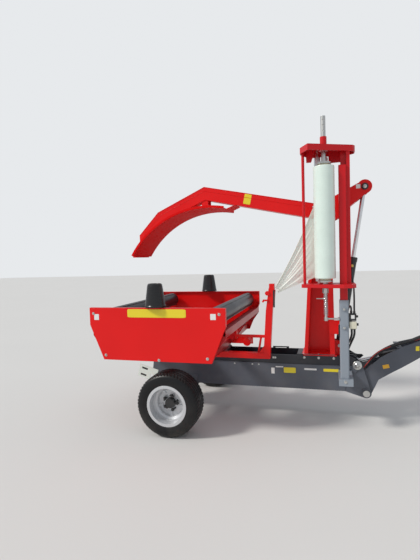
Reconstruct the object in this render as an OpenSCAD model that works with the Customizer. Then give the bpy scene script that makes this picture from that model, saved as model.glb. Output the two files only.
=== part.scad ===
/* [Table] */
// Half of the side panels' length along their top edge
panel_half = 497; // [480:1:505]
// Outer face of each side panel, from the middle
panel_y = 689; // [680:1:705]
// Height of the side panels' top edge
panel_top = 908; // [900:1:925]
// Height at which the side panels start to narrow
panel_knee = 786; // [770:1:800]
// Height of the side panels' bottom edge
panel_low = 541; // [536:1:548]
// Half of the side panels' length along their bottom edge
panel_low_half = 396; // [380:1:410]
// Thickness of the side panels' sheet
panel_sheet = 5; // [4:0.5:6]
// Depth of the edge folded inwards all round a side panel
panel_fold = 26; // [20:1:32]
// Radius of the two big bale rollers
roller_r = 62; // [56:1:66]
// Distance of the roller axes from the table's centre
roller_x = 385; // [375:1:400]
// Height of the roller axes
roller_z = 832; // [828:1:838]
// Radius of the guide cones at their foot
cone_r = 73; // [66:1:78]
// Height of the guide cones
cone_h = 160; // [145:1:170]
// Side of the square cross tubes under the rollers
cross_tube = 50; // [44:1:54]
// Depth of the table's main beams
table_beam = 76; // [66:1:80]

/* [Chassis] */
// Half width of the main beam
beam_half = 120; // [110:1:126]
// Height of the main beam's top
beam_top = 486; // [480:1:490]
// Height of the main beam's underside
beam_low = 232; // [226:1:238]
// Thickness of the main beam's plates
beam_plate = 8; // [6:0.5:9]
// Rear end of the main beam
beam_rear = -285; // [-300:1:-270]
// Side of the square axle tube
axle_side = 60; // [56:1:66]

/* [Wheels] */
// Rolling radius of the tyres
tyre_r = 225; // [220:1:229]
// Width of the tyres' section
tyre_w = 190; // [180:1:196]
// Distance of the wheel centres from the middle
wheel_y = 580; // [574:1:584]
// Place of the axle behind or ahead of the table's centre
wheel_x = 55; // [40:1:70]
// Outer radius of the rims' flanges
rim_r = 144; // [140:1:146]
// Radius of the stub axles
stub_r = 20; // [17:0.5:22]

/* [Mast and film] */
// Middle of the mast post, forward of the table's centre
mast_x = 1237; // [1233:1:1241]
// Middle of the mast post, towards the near side
mast_y = -320; // [-324:1:-316]
// Side of the square mast post
post_side = 60; // [58:1:66]
// Side of the square tube that telescopes in the post
mast_side = 50; // [44:1:50]
// Height at which the post ends
post_top = 925; // [900:1:950]
// Underside of the film frame's shelf
shelf_z = 1012; // [1006:1:1018]
// Underside of the film frame's top plate
top_z = 1918; // [1910:1:1926]
// Middle of the film roll, forward of the table's centre
film_x = 1118; // [1114:1:1122]
// Middle of the film roll, towards the near side
film_y = -345; // [-350:1:-340]
// Width of the film
film_w = 750; // [740:1:755]
// Radius of the film roll
film_r = 70; // [60:1:74]

/* [Arm] */
// Width of the arm's box section
arm_w = 100; // [90:1:104]
// Middle plane of the arm
arm_y = -50; // [-54:1:-46]
// Pivot of the arm, forward of the table's centre
arm_x = 1135; // [1130:1:1140]
// Height of the arm's pivot
arm_z = 1545; // [1540:1:1550]
// Inner radius of the curved shoe
shoe_r = 725; // [715:1:730]
// Height of the shoe's hollow side at its crown
shoe_crown = 1618; // [1614:1:1620]
// Width of the curved shoe
shoe_w = 358; // [320:1:362]
// Thickness of the shoe's plate
shoe_t = 8; // [6:0.5:10]
// Radius of the arm cylinder's barrel
barrel_r = 29; // [26:0.5:31]
// Radius of the arm cylinder's rod
rod_r = 15; // [13:0.5:17]

/* [Drawbar] */
// Height of the pin on which the drawbar folds
knee_z = 225; // [222:1:228]
// Place of the pin on which the drawbar folds
knee_x = 1390; // [1386:1:1394]
// Half width of the drawbar at its hinge
draw_half = 98; // [92:1:102]
// Height of the hitch eye's centre
eye_z = 600; // [590:1:606]
// Place of the hitch eye's centre
eye_x = 2215; // [2190:1:2240]
// Radius of the hole in the hitch eye
eye_r = 25; // [20:0.5:27]
// Place of the parking jack along the drawbar
jack_x = 2040; // [2020:1:2060]
// Travel of the parking jack
jack_travel = 250; // [230:1:255]

/* [Hidden] */
$fn = 48;
eye_ring = 52;
row_x = (eye_x + eye_ring - panel_half) / 2;
fit = 0.05;
seat = 0.3;
wheel_z = tyre_r;
stub_end = wheel_y + 16;
axle_end = wheel_y - tyre_w / 2 + 10;
slew_r = 130;
slew_t = 20;
hub_z = beam_top + slew_t + seat;
slew_pin_r = 30;
table_z = panel_low + 4;
panel_in = panel_y - panel_fold;
cross_z = roller_z - roller_r - 12 - cross_tube / 2;
cross_x = roller_x + 80;
roller_end = 641;
pin_r = 15;
small_pin_r = 12;
upper_x = 1330;
upper_z = 427;
draw_foot_x = 1780;
draw_foot_z = 545;
lever_x = 1396;
lever_z = 1712;
foot_x = 1210;
foot_z = 560;
shoe_x = 250;
shoe_z = shoe_crown - shoe_r;
shoe_start = 79;
shoe_sweep = 70;
shoe_end = [shoe_x + shoe_r * cos(shoe_start), shoe_z + shoe_r * sin(shoe_start)];
shoe_tip = [shoe_x + shoe_r * cos(shoe_start + shoe_sweep), shoe_z + shoe_r * sin(shoe_start + shoe_sweep)];
shoe_edge = 18;
cutter_y = -330;
cutter_side = 44;
rail_h = 40;
ring_fn = 240;
boss_end = 647;
roller_wall = 8;
cone_pin_r = 12;
core_bore = 28;
film_z0 = 1075;
core_z0 = film_z0 - 14;
core_z1 = film_z0 + film_w + 14;
spindle_r = 16;
spindle_top = 2157;
collar_top = 2021;
link_z = 798;
column_y0 = -120;
column_y1 = 16;
column_t = 8;
column_top = 1400;
tray_h = 24;
roof_h = 40;
tray_t = 5;
guide_z = [700, post_top - 20];
tube_x = mast_x;
foot_rear = mast_x - 39;
foot_front = mast_x + 54;
clamp_z = [739, 865];
foot_low = 340;
foot_high = 387;
knee_boss_r = 36;
draw_fold_x = 1634;
tongue_half = 40;
tongue_x = 1860;
tongue_end = eye_x - 77;
jack_y = -74;
jack_tube_low = 380;
jack_tube_top = 760;
stretch_front_at = [film_x - 43, film_y + 88];
stretch_rear_at = [film_x + 6, film_y + 103];
side_rod_x = film_x - 136;

red = [0.83, 0.04, 0.04];
dark_red = [0.55, 0.02, 0.03];
grey = [0.2, 0.21, 0.24];
post_grey = [0.42, 0.46, 0.51];
black = [0.07, 0.07, 0.08];
silver = [0.78, 0.79, 0.8];
white = [0.92, 0.94, 0.93];

// A closed outline moved inwards by t on every side, corners mitred; points run clockwise.
function edge_dir(p, i) = let (n = len(p), d = p[(i + 1) % n] - p[i]) d / norm(d);
function shrink(p, t) = [for (i = [0 : len(p) - 1])
    let (a = edge_dir(p, (i + len(p) - 1) % len(p)), b = edge_dir(p, i),
         na = [a[1], -a[0]], nb = [b[1], -b[0]], k = 1 + na * nb)
    p[i] + (na + nb) * (t / k)];

module row() { translate([-row_x, 0, 0]) children(); }
module block(low, high) { translate(low) cube(high - low); }
module slab(p, y0, y1) { translate([0, y1, 0]) rotate([90, 0, 0]) linear_extrude(y1 - y0) polygon(p); }
module rod_y(x, z, r, y0, y1, sides = 48) {
    translate([x, y1, z]) rotate([90, 0, 0]) cylinder(h = y1 - y0, r = r, $fn = sides);
}
module rod_x(y, z, r, x0, x1) { translate([x0, y, z]) rotate([0, 90, 0]) cylinder(h = x1 - x0, r = r); }
module rod_z(x, y, r, z0, z1) { translate([x, y, z0]) cylinder(h = z1 - z0, r = r); }

// An upright bar of square section with rounded corners.
module bar(x, y, side, corner, z0, z1) {
    inner = side / 2 - corner;
    translate([x, y, z0]) linear_extrude(z1 - z0) union() {
        translate([-side / 2, -inner]) square([side, 2 * inner]);
        translate([-inner, -side / 2]) square([2 * inner, side]);
        for (i = [-inner, inner], j = [-inner, inner])
            translate([i, j]) circle(corner, $fn = 24);
    }
}

// A sheet-metal tray: an outline in plan, its rim turned down by h, sheet t thick.
module tray(p, z, h, t) {
    translate([0, 0, z - h]) difference() {
        linear_extrude(h) polygon(p);
        translate([0, 0, -t]) linear_extrude(h) polygon(shrink(p, t));
    }
}

// A smooth curve through the points of p, k steps from one to the next.
function curve(p, k) = concat([for (i = [0 : len(p) - 2]) for (j = [0 : k - 1])
    let (t = j / k, a = p[max(i - 1, 0)], b = p[i], c = p[i + 1], d = p[min(i + 2, len(p) - 1)])
    (2 * b + (c - a) * t + (2 * a - 5 * b + 4 * c - d) * t * t + (3 * b - 3 * c + d - a) * t * t * t) / 2],
    [p[len(p) - 1]]);

// A round hose of radius r along a curve, eight-sided, closed at both ends.
module hose(points, r, k = 5) {
    n = 8;
    p = curve(points, k);
    last = len(p) - 1;
    rings = [for (i = [0 : last])
        let (d = p[min(i + 1, last)] - p[max(i - 1, 0)], a = cross(d, [0.1, 1, 0.05]), u = a / norm(a),
             w = cross(d, u), v = w / norm(w))
        for (q = [0 : n - 1]) p[i] + r * (cos(q * 360 / n) * u + sin(q * 360 / n) * v)];
    sides = [for (i = [0 : last - 1], q = [0 : n - 1])
        [i * n + q, i * n + (q + 1) % n, (i + 1) * n + (q + 1) % n, (i + 1) * n + q]];
    polyhedron(rings, concat(sides, [[for (q = [n - 1 : -1 : 0]) q], [for (q = [0 : n - 1]) last * n + q]]));
}

// Chassis

beam_outline = [[beam_rear, 300], [beam_rear + 22, beam_top], [upper_x - 40, beam_top],
                [upper_x + 34, 440], [knee_x + 30, knee_z + 20], [knee_x + 30, knee_z - 20],
                [knee_x - 20, knee_z - 34], [1240, beam_low], [beam_rear + 50, beam_low]];
beam_skirt = [[beam_rear + 8, 300], [beam_rear + 18, 417], [1290, 417], [1240, beam_low],
              [beam_rear + 50, beam_low]];

clevis = [[upper_x - 34, 396], [upper_x - 32, 452], [upper_x + 48, 456], [upper_x + 62, 446],
          [upper_x - 17, 369]];
pin_lug = [[upper_x - 80, beam_top - 2], [upper_x - 86, 372], [upper_x - 20, 396],
           [upper_x + 24, 416], [upper_x + 24, 440], [upper_x - 20, beam_top - 2]];
axle_plate = [[wheel_x - 56, 300], [wheel_x + 56, 300], [wheel_x + 42, 186], [wheel_x - 42, 186]];

module beam_side(s) {
    outer = beam_half;
    slab(beam_outline, min(s * outer, s * (outer - beam_plate)), max(s * outer, s * (outer - beam_plate)));
    slab(beam_skirt, min(s * outer, s * (outer + 4)), max(s * outer, s * (outer + 4)));
    slab(clevis, min(s * outer, s * (outer + 6)), max(s * outer, s * (outer + 6)));
    slab(axle_plate, min(s * outer, s * (outer + 12)), max(s * outer, s * (outer + 12)));
    rod_y(knee_x, knee_z, knee_boss_r, min(s * (outer - beam_plate), s * (outer + 6)),
          max(s * (outer - beam_plate), s * (outer + 6)));
}

module main_beam() {
    h = beam_half;
    deck = beam_top - beam_plate;
    inner = h - beam_plate;
    color(grey) row() difference() {
        union() {
            for (s = [-1, 1])
                beam_side(s);
            block([beam_rear + 50, -h, beam_low], [1240, h, beam_low + beam_plate]);
            block([beam_rear + 22, -h, deck], [330, h, beam_top]);
            block([900, -h, deck], [1270, h, beam_top]);
            for (x = [beam_rear + 50, 330, 900, 1236])
                block([x, -h, beam_low], [x + beam_plate, h, beam_top - 2]);
            block([901, -h - 6, 460], [947, -h, beam_top + 12]);
            for (s = [-1, 1])
                rod_y(upper_x, upper_z, small_pin_r, min(s * 28, s * (h + 14)), max(s * 28, s * (h + 14)));
            for (y = [-40, 28])
                slab(pin_lug, y, y + 12);
            difference() {
                block([691, h, 440], [821, h + 6, beam_top + 12]);
                block([711, h - 1, beam_top - 12], [801, h + 7, beam_top + 4]);
            }
        }
        rod_y(knee_x, knee_z, pin_r + fit, -200, 200);
        block([wheel_x - axle_side / 2, -200, wheel_z - axle_side / 2],
              [wheel_x + axle_side / 2, 200, wheel_z + axle_side / 2]);
    }
}

module axle() {
    color(grey) row() {
        block([wheel_x - axle_side / 2, -axle_end, wheel_z - axle_side / 2],
              [wheel_x + axle_side / 2, axle_end, wheel_z + axle_side / 2]);
        for (s = [-1, 1])
            rod_y(wheel_x, wheel_z, stub_r, min(s * axle_end, s * stub_end),
                  max(s * axle_end, s * stub_end));
    }
}

module slew_base() {
    color(grey) row() {
        rod_z(0, 0, slew_r, beam_top, beam_top + slew_t);
        rod_z(0, 0, slew_pin_r, beam_top + slew_t, table_z - 4);
    }
}

module light_plate() {
    plate_w = 110;
    plate_h = 104;
    slot_r = 5;
    color(white) row() translate([-355, -beam_half - 4, 302]) rotate([0, 16, 0]) difference() {
        union() {
            block([-plate_w / 2, -4, -plate_h / 2], [plate_w / 2, 0, plate_h / 2]);
            block([plate_w / 2 - 20, -4, 0], [plate_w / 2 + 60, 0, plate_h / 2]);
        }
        for (z = [-28, 28]) {
            block([-24, -10, z - slot_r], [14, 10, z + slot_r]);
            for (x = [-24, 14])
                rod_y(x, z, slot_r, -10, 10);
        }
    }
}

// Column and mast

column_outline = [[955, beam_top], [987, 992], [1034, column_top], [1161, column_top], [1171, 992],
                  [1178, beam_top]];
left_lip = [[955, beam_top], [987, 992], [1034, column_top], [1064, column_top], [1012, 992],
            [983, beam_top]];
right_lip = [[1161, column_top], [1171, 992], [1178, beam_top], [1142, beam_top], [1133, 992],
             [1124, column_top]];
cheek_outline = [[1034, column_top - 120], [1044, arm_z + 18], [1080, arm_z + 54], [1172, arm_z + 54],
                 [1236, arm_z + 22], [1228, arm_z - 38], [1190, arm_z - 58], [1161, column_top - 120]];
foot_lug = [[1170, beam_top], [1174, 600], [foot_x + 10, 596], [foot_x + 34, foot_z],
            [foot_x + 20, beam_top]];

module column() {
    base = beam_top + 10;
    color(dark_red) row() difference() {
        union() {
            difference() {
                slab(column_outline, column_y0, column_y1);
                slab(shrink(column_outline, column_t), column_y0 - 1, column_y1 - column_t);
                block([955 + 22, column_y0 - 1, beam_top - 1],
                      [1178 - 22, column_y1 - column_t, beam_top + 20]);
            }
            slab(left_lip, column_y0, column_y0 + column_t);
            slab(right_lip, column_y0, column_y0 + column_t);
            slab(cheek_outline, column_y0, column_y0 + column_t);
            slab(cheek_outline, column_y1 - column_t, column_y1);
            for (y = [column_y0 - 6, column_y1])
                rod_y(arm_x, arm_z, 38, y, y + 6);
            block([940, column_y0, beam_top], [1190, beam_half - 10, base]);
            slab([[948, base], [1000, base], [1018, base + 120]], column_y1, column_y1 + column_t);
            for (x = [975, 1150])
                block([x, column_y1, base], [x + column_t, beam_half - 14, base + 60]);
            for (y = [-80, -28])
                slab(foot_lug, y, y + 8);
            block([1140, column_y0 - 8, 653], [mast_x - 8, column_y0, 754]);
            block([mast_x - 28, mast_y + post_side / 2, 653], [mast_x - 8, column_y0 - 8, 754]);
        }
        rod_y(arm_x, arm_z, 20 + fit, -200, 200);
        rod_y(foot_x, foot_z, small_pin_r + fit, -90, -10);
    }
}

module pivot_pins() {
    h = beam_half;
    color(silver) row() {
        rod_y(knee_x, knee_z, pin_r, -h - 16, h + 16);
        for (y = [-h - 22, h + 16])
            rod_y(knee_x, knee_z, 24, y, y + 6);
        rod_y(arm_x, arm_z, 20, column_y0 - 14, column_y1 + 14);
        for (y = [column_y0 - 20, column_y1 + 14])
            rod_y(arm_x, arm_z, 28, y, y + 6);
        rod_y(foot_x, foot_z, small_pin_r, -90, -10);
    }
}

module mast_socket() {
    s = post_side / 2;
    color(post_grey) row() {
        difference() {
            block([foot_rear, mast_y - s - 14, foot_low], [foot_front, -beam_half - 4, foot_high]);
            block([foot_rear + 6, mast_y - s - 8, foot_low + 6],
                  [foot_front - 6, -beam_half, foot_high - 6]);
        }
        translate([mast_x + s - 14, 0, 0]) rotate([0, 0, 90])
            slab([[-beam_half - 70, foot_high], [-beam_half - 4, foot_high + 60],
                  [-beam_half - 4, foot_high]], 0, 8);
    }
}

module mast_post() {
    s = post_side / 2;
    w = s - 6;
    t = mast_side / 2 + seat;
    face = mast_y - mast_side / 2;
    color(post_grey) row() {
        difference() {
            bar(mast_x, mast_y, post_side, 10, foot_high, post_top);
            block([mast_x - w, mast_y - w, foot_high + 6], [mast_x + w, mast_y + w, guide_z[0]]);
            block([mast_x - w, mast_y - w, guide_z[0] + 20], [mast_x + w, mast_y + w, guide_z[1]]);
            block([tube_x - t, mast_y - t, guide_z[0] - 11], [tube_x + t, mast_y + t, post_top + 1]);
        }
        for (z = clamp_z) {
            rod_y(tube_x, z, 8, mast_y - s - 14, face);
            rod_y(tube_x, z, 17, mast_y - s - 4, mast_y - s, 32);
        }
    }
}

module mast_tube() {
    color(red) row() difference() {
        bar(tube_x, mast_y, mast_side, 8, guide_z[0] - 10, 1828);
        bar(tube_x, mast_y, mast_side - 10, 4, guide_z[0] - 11, 1822);
    }
}

// Film frame

frame_plan = [[960, -328], [1010, -212], [1295, -212], [1313, -230], [1313, -405], [1290, -437],
              [1235, -445], [975, -372], [960, -354]];
roof_plan = [[965, -328], [1016, -212], [1300, -212], [1320, -232], [1320, -292], [1306, -317],
             [1020, -468], [965, -366]];

module film_frame() {
    t = mast_side / 2 + seat;
    shelf_top = shelf_z + tray_h;
    roof_top = top_z + roof_h;
    web_y = mast_y + mast_side / 2;
    color(red) row() difference() {
        union() {
            tray(frame_plan, shelf_top, tray_h, tray_t);
            tray(roof_plan, roof_top, roof_h, tray_t);
            rod_z(side_rod_x, film_y, 10, shelf_top, roof_top - tray_t);
            difference() {
                block([tube_x + t, mast_y - 6, shelf_top], [tube_x + 49, web_y + 5, roof_top - tray_t]);
                block([tube_x + t + 4, mast_y - 2, shelf_top - 1], [tube_x + 45, web_y + 1, roof_top]);
            }
            block([tube_x - 11, web_y, shelf_top], [tube_x + t + 4, web_y + 5, roof_top - tray_t]);
            rod_z(film_x, film_y, 22, roof_top, collar_top);
            for (z = [shelf_z, roof_top - tray_t - tray_h])
                rod_z(film_x, film_y, 30, z, z + tray_h);
            slab([[1000, roof_top - tray_t], [1065, roof_top - tray_t], [1036, 1868], [1004, 1868]],
                 -311, -303);
            block([1150, -222, 1872], [1282, -212, roof_top - tray_t]);
        }
        block([tube_x - t, mast_y - t, shelf_z - 1], [tube_x + t, mast_y + t, shelf_top + 1]);
        rod_z(film_x, film_y, spindle_r + fit, shelf_z - 1, collar_top + 1);
        for (at = [stretch_front_at, stretch_rear_at]) {
            rod_z(at[0], at[1], 8 + fit, shelf_z, shelf_top + 1);
            rod_z(at[0], at[1], 8 + fit, top_z, roof_top - 2);
        }
    }
}

module film_spindle() {
    x = film_x;
    y = film_y;
    post_left = mast_x - post_side / 2;
    color(silver) row() {
        difference() {
            rod_z(x, y, spindle_r, shelf_z - 12, spindle_top);
            for (z = [2060, 2095, 2130])
                rod_y(x, z, 5, y - 30, y + 30, 24);
        }
        translate([x, y, shelf_z - 38]) cylinder(h = 32, r = 21, $fn = 6);
        rod_z(x, y, 50, core_z0 - 12, core_z0 - seat);
        rod_z(x, y, core_bore - fit, core_z0 - seat, core_z0 + 50);
        rod_z(x, y, core_bore - fit, core_z1 - 50, core_z1 + seat);
        rod_z(x, y, 50, core_z1 + seat, core_z1 + 12);
        rod_z(x, y, 9, link_z, shelf_z - 30);
        rod_z(x, y, 14, link_z - 14, link_z + 12);
        rod_x(y, 936, 3.5, x - 62, x - 7);
        rod_x(y, 936, 7, x - 18, x - 7);
        rod_x(y, link_z, 6, x + 10, post_left);
        rod_x(y, link_z, 11, post_left - 12, post_left);
    }
}

module film_roll() {
    color(white) row() difference() {
        union() {
            rod_z(film_x, film_y, film_r, film_z0, film_z0 + film_w);
            rod_z(film_x, film_y, core_bore + 10, core_z0, core_z1);
        }
        rod_z(film_x, film_y, core_bore, core_z0 - 6, core_z1 + 6);
    }
}

module stretch_roller(at) {
    color(silver) row() {
        rod_z(at[0], at[1], 22, shelf_z + tray_h + 14, top_z - 12);
        rod_z(at[0], at[1], 8, shelf_z + tray_h - tray_t + seat, top_z + roof_h - tray_t - seat);
    }
}

module stretch_front() { stretch_roller(stretch_front_at); }
module stretch_rear() { stretch_roller(stretch_rear_at); }

module film_sheet() {
    film_start = stretch_front_at[0] - 24.3;
    color(white) row() hull() {
        block([film_start, stretch_front_at[1] - 2, film_z0 + 5],
              [film_start + 2, stretch_front_at[1] + 1, 1520]);
        block([820, -336, 985], [822, -333, 1040]);
    }
}

post_right = mast_x + post_side / 2;
valve_x = post_right + 5;

module valve_block() {
    ring_low = 783;
    ring_high = 831;
    color(black) row() {
        block([post_right, mast_y - 10, 738], [valve_x + 41, mast_y + 30, 774]);
        block([post_right, mast_y - 2, 774], [valve_x + 16, mast_y + 12, ring_low]);
        difference() {
            block([post_right, mast_y - 5, ring_low], [valve_x + 44, mast_y + 25, ring_high]);
            block([valve_x + 10, mast_y - 6, ring_low + 10], [valve_x + 34, mast_y + 26, ring_high - 10]);
        }
        for (x = [valve_x + 14, valve_x + 32])
            rod_z(x, mast_y + 15, 8, 716, 738);
        for (x = [valve_x + 12, valve_x + 32])
            rod_z(x, mast_y + 15, 8, ring_high, ring_high + 16);
        rod_x(mast_y + 10, 756, 9, valve_x + 41, valve_x + 58);
    }
}

module hoses_mast() {
    y = mast_y + 15;
    color(black) row() {
        hose([[valve_x + 32, y, 715.6], [valve_x + 32, y, 708], [valve_x + 32, y, 700],
              [valve_x + 31, y + 3, 687], [valve_x + 26, -288, 662], [valve_x + 12, -255, 620],
              [valve_x - 10, -190, 545], [valve_x - 14, -128, 508],
              [valve_x - 14, -100, beam_top + 6.6]], 7);
        hose([[valve_x + 14, y, 715.6], [valve_x + 14, y, 708], [valve_x + 14, y, 700],
              [valve_x + 14, y + 3, 687], [valve_x + 11, -286, 666], [valve_x + 2, -250, 632],
              [valve_x - 28, -185, 560], [valve_x - 34, -128, 512],
              [valve_x - 34, -104, beam_top + 6.6]], 7);
        hose([[valve_x + 32, y, 847.4], [valve_x + 32, y, 855], [valve_x + 32, y, 863],
              [valve_x + 32, y + 3, 876], [valve_x + 33, -290, 896], [valve_x + 36, -240, 934],
              [valve_x + 38, -150, 1010], [valve_x + 28, -100, 1080], [1300, -100, 1138]], 6);
        hose([[valve_x + 12, y, 847.4], [valve_x + 12, y, 854], [valve_x + 12, y, 861],
              [valve_x + 11, y + 6, 871], [valve_x + 8, -284, 877], [valve_x + 2, -240, 866],
              [valve_x - 14, -170, 800], [1240, -106, 740], [1225, -100, 678]], 6);
    }
}

// Table

module slew_hub() {
    color(dark_red) row() difference() {
        union() {
            rod_z(0, 0, slew_r, hub_z, hub_z + 16);
            rod_z(0, 0, slew_pin_r + 24, hub_z + 16, table_z);
        }
        rod_z(0, 0, slew_pin_r + fit, hub_z - 1, table_z + 1);
    }
}

module tube_y(x, z, side, wall, end) {
    h = side / 2;
    difference() {
        block([x - h, -end, z - h], [x + h, end, z + h]);
        block([x - h + wall, -end - 1, z - h + wall], [x + h - wall, end + 1, z + h - wall]);
    }
}

module table_frame() {
    b = table_beam;
    c = cross_tube / 2;
    inner = panel_low_half - 20;
    color(dark_red) row() {
        difference() {
            union() {
                block([-60, -panel_in, table_z], [60, panel_in, table_z + b]);
                block([-inner, -80, table_z], [inner, 80, table_z + b]);
            }
            for (s = [-1, 1]) {
                block([-52, min(s * 88, s * (panel_in + 1)), table_z + 8],
                      [52, max(s * 88, s * (panel_in + 1)), table_z + b - 8]);
                block([min(s * 68, s * (inner + 1)), -72, table_z + 8],
                      [max(s * 68, s * (inner + 1)), 72, table_z + b - 8]);
            }
        }
        for (s = [-1, 1]) {
            tube_y(s * (inner - c), table_z + c, cross_tube, 5, panel_in);
            tube_y(s * cross_x, cross_z, cross_tube, 5, panel_in);
            for (y = [-panel_in, -80, 72, panel_in - 8])
                slab([[s * (inner - 40), table_z + cross_tube], [s * (cross_x - c), cross_z + c],
                      [s * (cross_x + c), cross_z - c], [s * inner, table_z]], y, y + 8);
        }
        block([345, panel_in - 74, 637], [424, panel_in - 66, 705]);
        block([380, panel_in - 66, 655], [392, panel_in, 685]);
    }
}

panel_outline = [[-panel_half, panel_knee], [-panel_half, panel_top], [panel_half, panel_top],
                 [panel_half, panel_knee], [panel_low_half, panel_low],
                 [-panel_low_half, panel_low]];

module panel(s) {
    y0 = min(s * panel_y, s * panel_in);
    y1 = max(s * panel_y, s * panel_in);
    cut0 = min(s * (panel_y - panel_sheet), s * (panel_in - 1));
    cut1 = max(s * (panel_y - panel_sheet), s * (panel_in - 1));
    pin_y = s * (panel_y - panel_fold);
    boss0 = min(s * boss_end, s * (panel_y - panel_sheet));
    boss1 = max(s * boss_end, s * (panel_y - panel_sheet));
    color(red) row() {
        difference() {
            union() {
                difference() {
                    slab(panel_outline, y0, y1);
                    slab(shrink(panel_outline, panel_sheet), cut0, cut1);
                }
                for (x = [-roller_x, roller_x])
                    rod_y(x, roller_z, 32, boss0, boss1);
            }
            for (x = [-roller_x, roller_x])
                rod_y(x, roller_z, 15 + fit, boss0 - (s > 0 ? 1 : 0), boss1 + (s > 0 ? 0 : 1));
        }
        block([-45, pin_y - 20, panel_top], [45, pin_y + 20, panel_top + 5]);
        rod_z(0, pin_y, cone_pin_r, panel_top + 5, panel_top + 120);
    }
}

module panel_near() { panel(-1); }
module panel_far() { panel(1); }

post_line = [[684, table_z - rail_h], [687, 554], [708, 849], [729, 991], [732, 1013], [772, 1013],
             [769, 991], [755, 849], [734, 554], [731, table_z - rail_h]];

module cutter_post() {
    s = cutter_side / 2;
    near = cutter_y - s;
    far = cutter_y + s;
    color(red) row() {
        slab(post_line, near, far);
        block([333, near, table_z - rail_h], [690, far, table_z]);
        slab([[690, table_z], [690, 600], [650, table_z]], near + 6, near + 14);
        block([735, near, 1013], [770, far, 1041]);
        block([482, -318, 650], [700, -304, 670]);
        block([cross_x + 10, -322, 640], [cross_x + 22, -300, cross_z - cross_tube / 2]);
        slab([[637, table_z - 1], [651, table_z - 1], [672, 659], [658, 659]], -318, -304);
    }
}

module cutter_clamp() {
    near = cutter_y - cutter_side / 2;
    color(red) row() {
        rod_y(722, 975, 16, near - 8, near);
        block([690, near - 10, 919], [726, near, 931]);
        rod_y(692, 918, 7, near - 14, near, 24);
        slab([[762, 874], [771, 998], [777, 998], [768, 874]], -340, -320);
        slab([[759.4, 890], [761.1, 908], [768, 908], [768, 890]], -336, -324);
    }
}

module roller_motor() {
    color(red) row() {
        rod_y(527, 580, 27, -150, -66);
        for (y = [-150, -134, -118, -102])
            rod_y(527, 580, 30, y, y + 8);
        block([panel_low_half - 20, -66, 552], [558, -56, 610]);
        rod_y(527, 580, 11, -56, -38);
    }
}

bar_angles = [20, 140, 260];

module roller(x) {
    tip = panel_y - panel_sheet - 1;
    color(black) row() {
        difference() {
            rod_y(x, roller_z, roller_r, -roller_end, roller_end);
            for (y = [-roller_end - 1, roller_end - 14])
                rod_y(x, roller_z, roller_r - roller_wall, y, y + 15);
        }
        for (s = [-1, 1])
            rod_y(x, roller_z, 15, min(s * (roller_end - 15), s * tip), max(s * (roller_end - 15), s * tip));
        for (a = bar_angles)
            translate([x, 0, roller_z]) rotate([0, a, 0])
                block([-10, -roller_end + 20, roller_r - 1], [10, roller_end - 20, roller_r + 4]);
    }
}

module roller_front() { roller(roller_x); }
module roller_rear() { roller(-roller_x); }

module cone(s) {
    bore = cone_pin_r + fit;
    h = cone_h;
    color(black) row() translate([0, s * (panel_y - panel_fold), panel_top + 5 + seat])
        rotate_extrude() polygon([[bore, 0], [cone_r, 0], [cone_r, 9], [cone_r - 3, 14],
            [cone_r - 21, h - 18], [cone_r - 24, h - 6], [cone_r - 31, h], [34, h], [30, h - 7],
            [0, h - 7], [0, 125], [bore, 125]]);
}

module cone_near() { cone(-1); }
module cone_far() { cone(1); }

// Wheels

module tyre(s) {
    h = tyre_w / 2;
    tread = tyre_r - 7;
    color(black) row() translate([wheel_x, s * wheel_y, wheel_z]) rotate([90, 0, 0])
        rotate_extrude() polygon([[132, -h + 20], [150, -h + 8], [175, -h], [190, -h], [208, -h + 9],
            [219, -h + 22], [tyre_r, -h + 36], [tyre_r, -40], [tread, -38], [tread, -34], [tyre_r, -32],
            [tyre_r, -4], [tread, -2], [tread, 2], [tyre_r, 4], [tyre_r, 32], [tread, 34], [tread, 38],
            [tyre_r, 40], [tyre_r, h - 36], [219, h - 22], [208, h - 9], [190, h], [175, h], [150, h - 8],
            [132, h - 20]]);
}

module rim(s) {
    h = tyre_w / 2;
    color(silver) row() translate([wheel_x, s * wheel_y, wheel_z]) rotate([-90 * s, 0, 0]) difference() {
        union() {
            rotate_extrude() polygon([[rim_r, -h + 6], [rim_r, -h + 12], [131, -h + 12], [131, h - 12],
                [rim_r, h - 12], [rim_r, h - 6], [124, h - 6], [124, 26], [116, 14], [102, 6], [92, -8],
                [36, -8], [36, -14], [95, -14], [105, 0], [118, 8], [124, 14], [124, -h + 6]]);
            for (a = [0 : 72 : 288])
                rotate([0, 0, a + 54]) block([64, -10, -9], [100, 10, -2]);
        }
        for (a = [0 : 72 : 288])
            rotate([0, 0, a + 18]) translate([50, 0, -20]) cylinder(h = 30, r = 6 + fit, $fn = 24);
    }
}

module hub(s) {
    color(black) row() translate([wheel_x, s * wheel_y, wheel_z]) rotate([-90 * s, 0, 0]) difference() {
        union() {
            translate([0, 0, -74]) cylinder(h = 60, r = 42);
            translate([0, 0, -24]) cylinder(h = 10, r = 68);
            translate([0, 0, -14]) cylinder(h = 40, r = 34);
            for (a = [0 : 72 : 288])
                rotate([0, 0, a + 18]) translate([50, 0, -14]) cylinder(h = 22, r = 6, $fn = 24);
        }
        translate([0, 0, -80]) cylinder(h = 97, r = stub_r + fit);
    }
}

module tyre_near() { tyre(-1); }
module tyre_far() { tyre(1); }
module rim_near() { rim(-1); }
module rim_far() { rim(1); }
module hub_near() { hub(-1); }
module hub_far() { hub(1); }

// Arm

arm_outline = [[-368, 1200], [-368, 1442], [-197, 1620], [203, 1798], [1040, 1616], [1120, 1625],
               [1372, 1750], [1440, 1700], [1418, 1672], [1190, 1500], [1120, 1488], [207, 1697],
               [-143, 1544], [-300, 1200]];

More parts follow.
